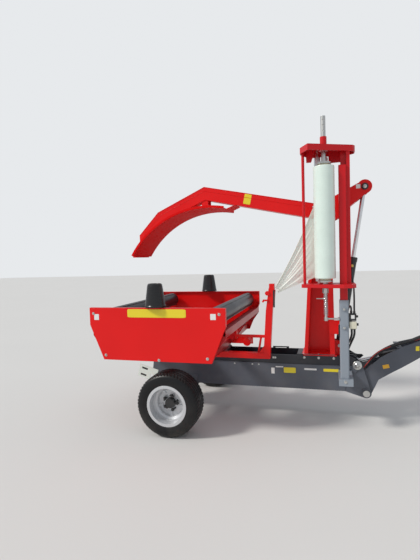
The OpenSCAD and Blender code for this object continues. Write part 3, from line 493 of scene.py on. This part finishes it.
# Turned part: point = centre + axis w + r (cos t u + sin t v) for a profile of (r, w) pairs in millimetres.
# A profile that falls along the axis has its faces turned over, so that they point outwards.
def turned(profile, centre, axis, around):
    profile = np.asarray(profile, float)
    axis = np.asarray(axis, float) / np.linalg.norm(axis)
    u = np.cross(axis, [0.0, 0.0, 1.0] if abs(axis[2]) < 0.9 else [1.0, 0.0, 0.0])
    u /= np.linalg.norm(u)
    v = np.cross(axis, u)
    t = np.arange(around) * 2 * np.pi / around
    ring = np.cos(t)[:, None] * u + np.sin(t)[:, None] * v
    grid = profile[:, 1, None, None] * axis + profile[:, 0, None, None] * ring[None]
    faces = shellFaces(len(profile), around)
    falls = profile[0, 1] > profile[-1, 1]
    return machine(grid + np.asarray(centre, float)), faces[:, ::-1] if falls else faces


# Bolts: washer and six-sided head, as shares of a width and a height, one mesh for all the bolts of a body.
boltForm = {"height": 8.0, "width": 10.4, "washerAround": 16,
            "head": [[0.02, 0.78], [0.55, 0.78], [0.62, 0.72], [0.66, 0.6], [0.66, 0.16]],
            "washer": [[0.66, 0.16], [0.98, 0.16], [1.0, 0.13], [1.0, 0.0]]}


def bolts(name, places, material, body):
    parts = []
    for centre, axis, scale in places:
        size = np.array([boltForm["width"], boltForm["height"]]) * scale
        parts.append(turned(boltForm["head"] * size, centre, axis, 6))
        parts.append(turned(boltForm["washer"] * size, centre, axis, boltForm["washerAround"]))
    points, faces = joinParts(parts)
    meshPiece(name, points, faces, material, body, smooth=False)


# Sticker: a plate on a face; its outline is |2x / width|^n + |2y / height|^n = 1. Rings are shares of the
# outline and of the lift, from the middle to the rim's foot.
labelForm = {"around": 64, "n": 14, "lift": 0.5, "rings": ((0.001, 1), (0.96, 1), (1, 0.7), (1, 0.1))}


def label(name, centre, across, up, width, height, material, body):
    across, up = (np.asarray(k, float) / np.linalg.norm(k) for k in (across, up))
    out = np.cross(across, up) * labelForm["lift"]
    t = np.arange(labelForm["around"]) * 2 * np.pi / labelForm["around"]
    power = 2 / labelForm["n"]
    x = np.sign(np.cos(t)) * np.abs(np.cos(t)) ** power * width / 2
    y = np.sign(np.sin(t)) * np.abs(np.sin(t)) ** power * height / 2
    rim = x[:, None] * across + y[:, None] * up
    rings = [rim * share + out * raised for share, raised in labelForm["rings"]]
    grid = machine(np.asarray(centre, float) + np.array(rings))
    faces = shellFaces(len(rings), labelForm["around"])[:, ::-1]
    meshPiece(name, grid, faces, material, body, smooth=False)


# Weld: a bead along a line whose radius is radius (1 + ripple sin(pitch i)) at its point i.
weldForm = {"step": 0.0035, "ripple": 0.16, "pitch": 2.1, "sides": 8, "fewest": 8}


def welds(name, lines, material, body, radius):
    parts = []
    for line in lines:
        ends = machine(line)
        count = max(weldForm["fewest"], int(np.linalg.norm(ends[1] - ends[0]) / weldForm["step"]))
        path = ends[0] + np.linspace(0, 1, count)[:, None] * (ends[1] - ends[0])
        wave = 1 + weldForm["ripple"] * np.sin(np.arange(count) * weldForm["pitch"])
        parts.append(tube(path, radius / 1000, weldForm["sides"], wave))
    points, faces = joinParts(parts)
    meshPiece(name, points, faces, material, body)


# Rounded box: |2x / a|^n + |2y / b|^n + |2z / c|^n = 1, from longitude and latitude.
boxForm = {"around": 48, "rows": 26, "n": 10}


def roundBox(name, centre, size, material, body):
    lon = (np.arange(boxForm["around"]) * 2 * np.pi / boxForm["around"])[None, :]
    lat = np.linspace(-np.pi / 2, np.pi / 2, boxForm["rows"])[:, None]
    raised = [np.cos(lat) * np.cos(lon), np.cos(lat) * np.sin(lon), np.sin(lat) + 0 * lon]
    power = 2 / boxForm["n"]
    grid = np.stack([np.sign(k) * np.abs(k) ** power * full / 2 for k, full in zip(raised, size)], -1)
    meshPiece(name, machine(grid + centre), shellFaces(boxForm["rows"], boxForm["around"]), material, body)


print("tyres")
# Metres. Rings are the round grooves' distances from the middle of the tread; slots lie outside the outer
# groove, sipes between the grooves, and lines stand out on the wall as (radius, height).
tyre = {"around": 560, "across": 132, "x": 0.055, "y": 0.580, "z": 0.225, "pitches": 56, "depth": 0.0062,
        "treadFrom": 0.2125, "treadRise": 0.004, "rings": (0.018, 0.046), "ringWidth": 0.0030,
        "slots": 0.048, "slotSlant": 22, "slotWidth": 0.14, "sipes": (0.0195, 0.045), "sipeSlant": 26,
        "sipeWidth": 0.09, "sipeDepth": 0.45, "lines": ((0.176, 0.0008), (0.158, 0.0007)),
        "lineWidth": 0.0016}
# Half a section from the bead to the middle of the tread, as (radius, offset).
tyreSection = [[0.128, 0.070], [0.136, 0.080], [0.150, 0.0895], [0.172, 0.0945], [0.190, 0.0945],
               [0.205, 0.0905], [0.2155, 0.0835], [0.2222, 0.0735], [0.2240, 0.060], [0.2246, 0.03],
               [0.2246, 0.0]]


# Smooth bar across a value: exp(-((value - middle) / width)^power), 1 at the middle and near 0 beside it.
def bar(value, middle, width, power=4):
    return np.exp(-((value - middle) / width) ** power)


# Point = (r cos t, offset, r sin t) about the axle: r is the section's radius less the tread's cuts.
def makeTyre(side, name):
    section = np.array(tyreSection)
    section = np.concatenate([section, section[-2::-1] * [1, -1]])
    along = np.concatenate([[0], np.cumsum(np.linalg.norm(np.diff(section, axis=0), axis=1))])
    s = np.linspace(0, along[-1], tyre["across"])
    radius, offset = (np.interp(s, along, section[:, k])[None, :] for k in (0, 1))
    t = (np.arange(tyre["around"]) * 2 * np.pi / tyre["around"])[:, None]
    pitch = t * tyre["pitches"] / (2 * np.pi)
    wide = np.abs(offset)
    tread = np.clip((radius - tyre["treadFrom"]) / tyre["treadRise"], 0, 1)
    rings = np.maximum(*(bar(wide, ring, tyre["ringWidth"]) for ring in tyre["rings"]))
    slant = (pitch + wide * tyre["slotSlant"] + 0.5 * (offset > 0)) % 1
    slots = bar(slant, 0.5, tyre["slotWidth"]) * (wide > tyre["slots"])
    between = (wide > tyre["sipes"][0]) * (wide < tyre["sipes"][1])
    sipes = bar((pitch - offset * tyre["sipeSlant"]) % 1, 0.5, tyre["sipeWidth"]) * between
    cut = np.maximum(np.maximum(rings, slots), sipes * tyre["sipeDepth"]) * tread
    wall = sum(height * bar(radius, at, tyre["lineWidth"], 2) for at, height in tyre["lines"])
    r = radius - cut * tyre["depth"]
    w = offset + np.sign(offset) * wall * (1 - tread) + 0 * t
    x, z = shift + tyre["x"] + r * np.cos(t), tyre["z"] + r * np.sin(t)
    points = np.stack([x, side * (tyre["y"] + w), z], -1)
    faces = gridFaces(tyre["around"], tyre["across"], closedRows=True, closedColumns=True)
    if side > 0:
        faces = faces[:, ::-1]
    made = meshPiece(f"tyre_{name}_tread", points, faces, "tyreRubber", f"wheel_{name}")
    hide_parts(f"tyre_{name}")


for side, name in ((-1, "near"), (1, "far")):
    makeTyre(side, name)


print("film")
# Millimetres. The windings wear off at the roll's ends, and the core stands proud of them. Ends are the first
# rings' heights, close together, and even rings go on from there.
film = {"x": 1118, "y": -345, "low": 1075, "width": 750, "radius": 69.6, "ends": (0.0, 0.0, 2, 5, 9),
        "even": 14, "rings": 320, "around": 96, "worn": 1.6, "wornRun": 2.5, "winding": 0.35, "plain": 10,
        "wave": 0.42, "bend": 2, "bendWave": 0.013, "core": 38, "bore": 28.3, "proud": 14, "coreAround": 64}


# Roll: r = radius - worn e^(-d / run) - winding (1 + sin(wave z + bend sin(bendWave z))) / 2, d from the
# nearer end; within plain of an end there are no lines.
def makeRoll():
    ends = np.array(film["ends"])
    between = np.linspace(film["even"], film["width"] - film["even"], film["rings"])
    z = np.concatenate([ends, between, (film["width"] - ends)[::-1]])
    edge = np.minimum(z, film["width"] - z)
    r = film["radius"] - film["worn"] * np.exp(-edge / film["wornRun"])
    line = 0.5 + 0.5 * np.sin(z * film["wave"] + film["bend"] * np.sin(z * film["bendWave"]))
    r = r - film["winding"] * line * (edge > film["plain"])
    r[0] = r[-1] = film["core"] - 1
    centre, up = (film["x"], film["y"], 0), (0, 0, 1)
    grid, faces = turned(np.stack([r, z + film["low"]], -1), centre, up, film["around"])
    roll = meshPiece("film_roll_wound", grid, faces, "filmWhite", "film_roll")
    foot, head = film["low"] - film["proud"], film["low"] + film["width"] + film["proud"]
    core, bore = film["core"], film["bore"]
    wall = [[bore + 0.2, foot], [core - 0.4, foot], [core, foot + 1], [core, head - 1],
            [core - 0.4, head], [bore + 0.2, head], [bore, head - 1], [bore, foot + 1]]
    grid = turned(wall, centre, up, film["coreAround"])[0]
    faces = gridFaces(len(wall), film["coreAround"], closedRows=True, closedColumns=True)
    core = meshPiece("film_core", grid, faces, "creamCore", "film_roll")
    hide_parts("film_roll")


makeRoll()

# Millimetres. Low and high are the film's lower and upper corners, at the roller and at the cutter. The upper
# edge sags between them, and the last part of the height is rolled up into a thick hem. Waves are how often
# the coarse and the fine folds come; starts are how soon folds and hem grow.
fan = {"rows": 90, "columns": 180, "low": ((1052.4, -257, 1080), (797.0, -345, 978)),
       "high": ((1052.4, -257, 1590), (778.0, -346, 1026)), "sag": 26, "bend": 0.92, "hem": 0.1,
       "hemRadius": 6, "hemTurns": 2, "foldFrom": 0.6, "foldTo": 6.5, "foldGrowth": 1.2,
       "waves": (26, 63), "shares": (0.7, 0.3), "drifts": (1.2, 5), "wander": (3.1, 7),
       "starts": (12, 6), "sway": 3.0, "swayWave": (37, 2)}


# Fan: s runs from the roller to the cutter, t from the lower edge to the upper one. The point lies between
# both edges, moved across by fold = the sum of share sin(wave t + drift s), deeper with s, where the coarse
# wave also wanders. The hem's points go round by radius (sin a, 1 - cos a).
def makeFan():
    s = np.linspace(0, 1, fan["rows"])[:, None]
    t = np.linspace(0, 1, fan["columns"])[None, :]
    (low0, low1), (high0, high1) = np.array(fan["low"], float), np.array(fan["high"], float)
    wide = np.minimum(t / (1 - fan["hem"]), 1)
    lower = low0 + (low1 - low0) * s[..., None]
    upper = high0 + (high1 - high0) * (s ** fan["bend"])[..., None]
    upper[..., 2] -= fan["sag"] * np.sin(np.pi * s)
    grid = lower + (upper - lower) * wide[..., None]
    wander = fan["wander"][0] * np.sin(wide * fan["wander"][1])
    coarse = np.sin(wide * fan["waves"][0] + wander + fan["drifts"][0] * s)
    fine = np.sin(wide * fan["waves"][1] + fan["drifts"][1] * s)
    fold = coarse * fan["shares"][0] + fan["shares"][1] * fine
    deep = (fan["foldFrom"] + fan["foldTo"] * s ** fan["foldGrowth"]) * np.minimum(1, fan["starts"][0] * s)
    grid[..., 1] += fold * deep
    grid[..., 0] += fan["sway"] * np.sin(wide * fan["swayWave"][0] + fan["swayWave"][1]) * s
    roll = np.clip((t - (1 - fan["hem"])) / fan["hem"], 0, 1) * fan["hemTurns"] * 2 * np.pi
    hem = fan["hemRadius"] * np.minimum(1, fan["starts"][1] * s)
    grid[..., 1] += hem * np.sin(roll)
    grid[..., 2] -= hem * (1 - np.cos(roll))
    made = meshPiece("film_fan", machine(grid.reshape(-1, 3)), gridFaces(fan["rows"], fan["columns"]),
                     "filmThin", None)
    addFilmMaps(made, s, t, wide, fold)
    print("fan area", round(sum(face.area for face in made.data.polygons), 4))
    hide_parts("film_sheet")
    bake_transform(made)


# The film's density and brightness at each point, lowest in a band under the hem, and its flow map (s, t).
# The brightness is darker on one side of each fold: painted shade.
filmMap = {"bandAt": 0.86, "bandWidth": 0.08, "dense": 1.03, "bandThin": 0.2, "rollerThin": 0.06,
           "foldThick": 0.02, "thinnest": 0.3, "foldShade": 0.08, "bandDark": 0.6}


def addFilmMaps(made, s, t, wide, fold):
    band = bar(wide, filmMap["bandAt"], filmMap["bandWidth"], 2) * (t < 1 - fan["hem"])
    dense = filmMap["dense"] - filmMap["bandThin"] * band - filmMap["rollerThin"] * (1 - s)
    dense = np.clip(dense + filmMap["foldThick"] * fold, filmMap["thinnest"], 1)
    # Painted shade on the folds: darker where the fold leans one way.
    bright = np.clip(1.0 + filmMap["foldShade"] * fold - filmMap["bandDark"] * band, 0, 1)
    colour = np.stack([dense, bright, bright, np.ones_like(dense)], -1).astype(np.float32)
    made.data.attributes.new("film", "FLOAT_COLOR", "POINT").data.foreach_set("color", colour.ravel())
    place = np.stack([s + 0 * t, t + 0 * s], -1).reshape(-1, 2).astype(np.float32)
    corner = np.empty(len(made.data.loops), np.int32)
    made.data.loops.foreach_get("vertex_index", corner)
    made.data.uv_layers.new(name="flow").data.foreach_set("uv", place[corner].ravel())


makeFan()


print("hoses")
hoseRadius = {"mast": 0.007, "lift": 0.006, "drawbar": 0.007, "wire": 0.0028}
valveX, hoseY = 1272, -305  # the valve's ports
mastRoutes = [[[valveX + 32, hoseY, 717], [valveX + 32, hoseY, 708], [valveX + 32, hoseY, 700],
               [valveX + 31, hoseY + 3, 687], [valveX + 26, -288, 662], [valveX + 12, -255, 620],
               [valveX - 10, -190, 545], [valveX - 14, -128, 508], [valveX - 14, -98, 491]],
              [[valveX + 14, hoseY, 717], [valveX + 14, hoseY, 708], [valveX + 14, hoseY, 700],
               [valveX + 14, hoseY + 3, 687], [valveX + 11, -286, 666], [valveX + 2, -250, 632],
               [valveX - 28, -185, 560], [valveX - 34, -128, 512], [valveX - 34, -102, 491]]]
liftRoutes = {
    "hose_lift_top": [[valveX + 32, hoseY, 846], [valveX + 32, hoseY, 855], [valveX + 32, hoseY, 863],
                      [valveX + 32, hoseY + 3, 876], [valveX + 33, -290, 896], [valveX + 36, -240, 934],
                      [valveX + 38, -150, 1010], [valveX + 28, -104, 1080], [1303, -98, 1136],
                      [1306, -97, 1146]],
    "hose_lift_foot": [[valveX + 12, hoseY, 846], [valveX + 12, hoseY, 854], [valveX + 12, hoseY, 861],
                       [valveX + 11, hoseY + 6, 871], [valveX + 8, -284, 877], [valveX + 2, -240, 866],
                       [valveX - 14, -170, 800], [1240, -106, 740], [1226, -98, 680], [1226, -97, 668]],
}
# Drawbar hoses side by side: x, the first one's y, the step in y to the next one, z.
drawbarRoute = [(2110, -2, -15, 647.5), (1990, -4, -15, 647.5), (1900, -8, -15, 653), (1825, -14, -16, 654),
                (1762, -22, -16, 630), (1700, -31, -16, 604), (1634, -38, -17, 584), (1572, -40, -17, 563),
                (1500, -42, -17, 522), (1440, -46, -17, 472), (1392, -48, -17, 420), (1330, -52, -17, 350),
                (1290, -52, -17, 300)]
wireRoute = [[1318, -92, 326], [1330, -100, 348], [1362, -99, 392], [1400, -98, 438], [1434, -96, 484],
             [1468, -92, 518], [1506, -86, 541], [1544, -80, 556], [1592, -70, 574], [1640, -64, 588],
             [1720, -60, 606], [1800, -46, 636]]
# Coupling: a hexagon, a sleeve and a nose.
coupling = {"count": 3, "x": 2085, "y": -2, "step": -15, "z": 647.5, "around": 20,
            "profile": [[0.2, 0], [7.2, 0], [7.4, 1], [7.4, 12], [7.1, 13], [7.1, 15], [7.4, 16], [7.4, 34],
                        [7, 35], [5.5, 36], [5.5, 43], [4.5, 45], [0.2, 45]]}


def makeHoses():
    made = tubes("hoses_beam", mastRoutes, hoseRadius["mast"], "hoseRubber", "root")
    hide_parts("hoses_mast")
    for name, path in liftRoutes.items():
        made = tubes(name, [path], hoseRadius["lift"], "hoseRubber", None)
        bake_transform(made)
    paths = [[[x, y + step * k, z] for x, y, step, z in drawbarRoute] for k in range(coupling["count"])]
    made = tubes("hoses_drawbar", paths, hoseRadius["drawbar"], "hoseRubber", None)
    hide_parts("hoses_draw")
    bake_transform(made)


def makeCouplings():
    parts = []
    for k in range(coupling["count"]):
        place = (coupling["x"], coupling["y"] + coupling["step"] * k, coupling["z"])
        parts.append(turned(coupling["profile"], place, (1, 0, 0), coupling["around"]))
    points, faces = joinParts(parts)
    meshPiece("hose_couplings", points, faces, "zincSteel", "drawbar")


def makeWire():
    made = tubes("wire_drawbar", [wireRoute], hoseRadius["wire"], "redWire", None, steps=10, sides=8)
    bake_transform(made)


makeHoses()
makeCouplings()
makeWire()

# Elbow: a tube that leaves its port squarely and turns to the hose's end, with a six-sided collar on both.
elbowForm = {"radius": 0.0065, "steps": 6, "sides": 12,
             "collar": [[0.2, 6], [8.5, 6], [9.5, 5], [9.5, 0], [8.5, -1], [0.2, -1]]}


def elbows(name, places, material, body):
    parts = []
    for port, end in places:
        port, end = np.asarray(port, float), np.asarray(end, float)
        corner = np.array([port[0], end[1], port[2]])
        path = [port, (port + corner) / 2, corner * 0.8 + end * 0.1 + port * 0.1, end]
        parts.append(tube(smooth(machine(path), elbowForm["steps"]), elbowForm["radius"], elbowForm["sides"]))
        for centre in (port, end):
            parts.append(turned(elbowForm["collar"], centre, corner - centre + 1e-6, 6))
    points, faces = joinParts(parts)
    meshPiece(name, points, faces, material, body, smooth=False)


elbows("fittings_lift", [([1305.6, -87, 1152], [1305.8, -97, 1141]), ([1226, -87, 659], [1226, -97, 671])],
       "yellowFitting", "arm_barrel")


print("bolts and pins")
near, far, ahead, behind, up = (0, -1, 0), (0, 1, 0), (1, 0, 0), (-1, 0, 0), (0, 0, 1)
panelBolts = {"y": 689, "places": [(-467, 867), (455, 868), (-381, 573), (368, 573), (23, 550)]}
wheelNuts = {"x": 55, "y": 588, "z": 225, "ring": 50, "first": 18, "count": 5, "scale": 1.25}
columnBolts = (955, 1060, 1168)
beamBolts = [((x, -120, 470), near, 0.9) for x in columnBolts]
beamBolts += [((x, -112, 496), up, 0.9) for x in columnBolts]
beamBolts += [((x, -120, 462), near, 0.8) for x in (724, 738)]
beamBolts += [((x, -124, 404), near, 0.6) for x in (420, 560, 610)]
postBolts = [((1241, -364, 370), near, 1.1), ((1237, -364, 865), near, 0.8), ((1237, -364, 739), near, 0.8)]
roofBolts = [((x, y, 1958), up, 0.8) for x, y in ((1075, -257), (1124, -242), (982, -345), (1262, -300))]
eyeBolts = [((2138, y, z), behind, 0.8) for y in (-44, 44) for z in (556, 644)]
motorBolts = [((x, -56, z), far, 0.7) for x in (548, 500) for z in (562, 600)]
armBolts = [((1040, -100, 1590), near, 0.8), ((1090, -100, 1583), near, 0.8)]


# Wheel nuts on a circle: (x, z) = centre + ring (sin a, cos a).
def makeSideBolts(side, axis, name):
    places = [((x, side * panelBolts["y"], z), axis, 1.0) for x, z in panelBolts["places"]]
    bolts(f"bolts_panel_{name}", places, "zincSteel", "table")
    step = 360 / wheelNuts["count"]
    turns = [math.radians(wheelNuts["first"] + k * step) for k in range(wheelNuts["count"])]
    nuts = [((wheelNuts["x"] + wheelNuts["ring"] * math.sin(a), side * wheelNuts["y"],
              wheelNuts["z"] + wheelNuts["ring"] * math.cos(a)), axis, wheelNuts["scale"]) for a in turns]
    bolts(f"nuts_wheel_{name}", nuts, "blackPaint", f"wheel_{name}")


for side, axis, name in ((-1, near, "near"), (1, far, "far")):
    makeSideBolts(side, axis, name)
for name, places, body in (("bolts_beam", beamBolts, "root"), ("bolt_post", postBolts, "root"),
                           ("bolts_roof", roofBolts, "root"), ("bolts_eye", eyeBolts, "drawbar"),
                           ("bolts_motor", motorBolts, "table"), ("bolts_arm", armBolts, "arm")):
    bolts(name, places, "zincSteel", body)

spring = {"x": 1118, "y": -345, "low": 822, "length": 150, "radius": 13.5, "turns": 11.5, "points": 420,
          "wire": 0.0027, "sides": 8}


# Spring on the spindle: (x, y) = centre + radius (cos a, sin a), and z rises by one pitch a turn.
def makeSpring():
    a = np.linspace(0, 2 * np.pi * spring["turns"], spring["points"])
    path = np.stack([spring["x"] + spring["radius"] * np.cos(a), spring["y"] + spring["radius"] * np.sin(a),
                     spring["low"] + spring["length"] * a / a[-1]], -1)
    grid, faces = tube(machine(path), spring["wire"], spring["sides"])
    meshPiece("spindle_spring", grid, faces, "rodChrome", "root")


def turnedPiece(name, profile, centre, axis, around, material, body, smooth=True):
    points, faces = turned(profile, centre, axis, around)
    meshPiece(name, points, faces, material, body, smooth)


# Profiles of turned parts. The pin's head is a flat disc with a rounded rim and a small boss.
pinHead = [[0.2, 15], [9, 15], [11, 13], [11, 9], [29, 9], [32, 7.5], [33, 5], [33, 0], [0.2, 0]]
knob = [[0.2, 16], [6, 16], [8, 14], [8, 0], [0.2, 0]]
leverCheek = [[0.2, 0], [49, 0], [50, -1], [50, -8], [0.2, -8]]
leverRing = [[0.2, 11.2], [23, 11.2], [24, 10.2], [24, 0], [0.2, 0]]
leverPin = [[0.2, 17], [4, 17], [5, 16], [5, 14.5], [12, 14.5], [14, 13], [14, 11]]

makeSpring()
turnedPiece("pin_cap_near", pinHead, (1330, -124, 427), near, 48, "zincSteel", "root")
turnedPiece("pin_cap_far", pinHead, (1330, 124, 427), far, 48, "zincSteel", "root")
turnedPiece("valve_knob", knob, (1312, -310, 811), ahead, 24, "blackPaint", "root")
roundBox("valve_body", (1294, -310, 752), (48, 46, 50), "creamPaint", "root")
roundBox("post_buffer", (1203, -338, 716), (9, 20, 84), "blackPaint", "root")
roundBox("cutter_strip", (768, -354, 936), (12, 7, 122), "blackPaint", "table")
turnedPiece("lever_cheek", leverCheek, (1396, -100.6, 1712), near, 72, "redPaint", "arm", smooth=False)
turnedPiece("lever_pin_ring", leverRing, (1396, -100.8, 1712), near, 40, "blackPaint", "arm")
turnedPiece("lever_pin_head", leverPin, (1396, -100.8, 1712), near, 32, "zincSteel", "arm")


print("labels")
slope = ((0.961, 0, -0.276), (0.276, 0, 0.961))  # along and across the light plate's slots
marks = [
    # Dark plates over the light plate's two slots, so that the slots read dark.
    ("slot_cap_upper", (-352.1, -128.05, 330.3), *slope, 52, 15, "blackPaint", "root"),
    ("slot_cap_lower", (-367.5, -128.05, 276.5), *slope, 52, 15, "blackPaint", "root"),
    ("label_strip", (13, -689, 871), ahead, up, 428, 58, "yellowFoil", "table"),
    ("label_corner_front", (414, -689, 851), ahead, up, 38, 40, "whiteFoil", "table"),
    ("label_corner_rear", (-443, -689, 842), ahead, up, 38, 42, "whiteFoil", "table"),
    ("label_beam_white", (719, -124, 360), ahead, up, 26, 46, "whiteFoil", "root"),
    ("label_beam_rear", (846, -124, 369), ahead, up, 90, 42, "yellowFoil", "root"),
    ("label_beam_front", (1148, -124, 381), ahead, up, 110, 22, "yellowFoil", "root"),
    ("label_beam_line", (999, -124, 383), ahead, up, 90, 14, "whiteFoil", "root"),
    ("label_draw_rear", (1526, -98, 420), (0.97, 0, 0.24), (-0.24, 0, 0.97), 44, 28, "amberFoil", "drawbar"),
    ("label_beam_thin", (769, -124, 392), ahead, up, 58, 9, "whiteFoil", "root"),
    ("label_draw_front", (1738, -71.3, 551), (0.9686, 0.2486, 0), up, 26, 34, "yellowFoil", "drawbar"),
    ("label_arm", (549, -100, 1679), (0.975, 0, -0.223), (0.223, 0, 0.975), 56, 78, "yellowFoil", "arm"),
    ("label_lever", (1352, -101, 1716), ahead, up, 30, 30, "whiteFoil", "arm"),
]
for mark in marks:
    label(*mark)


print("welds")
armCrease = [[[-330, -100, 1443], [-176, -100, 1596]], [[-176, -100, 1596], [204, -100, 1766]],
             [[204, -100, 1766], [1030, -100, 1585]]]
armTop = [[[-368, -100, 1440], [-197, -100, 1619]], [[203, -100, 1797], [-197, -100, 1620]],
          [[203, -100, 1797], [1040, -100, 1615]]]
beamTop = [[[-235, -124, 417], [1288, -124, 417]], [[955, -121, 496], [1176, -121, 496]]]
welds("arm_crease", armCrease, "redPaint", "arm", 1.6)
welds("welds_arm", armTop, "redPaint", "arm", 2.4)
welds("welds_beam", beamTop, "chassisPaint", "root", 2.6)


print("floor and light")
floorLook = {"size": 60, "height": -0.001, "colour": (0.70, 0.69, 0.67, 1), "toneScale": 0.6, "tone": 0.05,
             "grain": 45.0, "bumps": 0.15, "rough": 0.85}
light = {"seen": (0.80, 0.82, 0.84, 1), "fill": (0.83, 0.87, 0.93, 1), "fillStrength": 0.62, "sun": 2.15,
         "sunColour": (1, 0.97, 0.92), "softness": 10, "tilt": 50, "turn": -56}  # angles in degrees


def makeFloor():
    bpy.ops.mesh.primitive_plane_add(size=floorLook["size"], location=(0, 0, floorLook["height"]))
    floor = bpy.context.object
    floor.name = "floor"
    tree, shader = startMaterial("floorPale")
    tone = useGroup(tree, "tone", {"Colour": floorLook["colour"], "Scale": floorLook["toneScale"],
                                   "Amount": floorLook["tone"]})
    grain = useGroup(tree, "grain", {"Scale": floorLook["grain"], "Strength": floorLook["bumps"]})
    feed(tree, shader, {"Base Color": tone.outputs["Colour"], "Normal": grain.outputs["Normal"],
                        "Roughness": floorLook["rough"]})
    floor.data.materials.append(materials["floorPale"])


# The camera sees a plain backdrop, the object is lit by a soft fill, and one sun gives the shadows.
def makeLight():
    world = bpy.data.worlds.new("world")
    bpy.context.scene.world = world
    world.use_nodes = True
    tree = world.node_tree
    seen = tree.nodes["Background"]
    seen.inputs["Color"].default_value = light["seen"]
    fill = addNode(tree, "ShaderNodeBackground", {"Color": light["fill"], "Strength": light["fillStrength"]})
    direct = addNode(tree, "ShaderNodeLightPath").outputs["Is Camera Ray"]
    either = addNode(tree, "ShaderNodeMixShader", {0: direct, 1: fill.outputs[0], 2: seen.outputs[0]})
    tree.links.new(either.outputs[0], tree.nodes["World Output"].inputs["Surface"])
    sun = bpy.data.lights.new("key", "SUN")
    sun.energy = light["sun"]
    sun.angle = math.radians(light["softness"])
    sun.color = light["sunColour"]
    key = bpy.data.objects.new("key", sun)
    bpy.context.scene.collection.objects.link(key)
    key.rotation_euler = (math.radians(light["tilt"]), 0, math.radians(light["turn"]))


makeFloor()
makeLight()
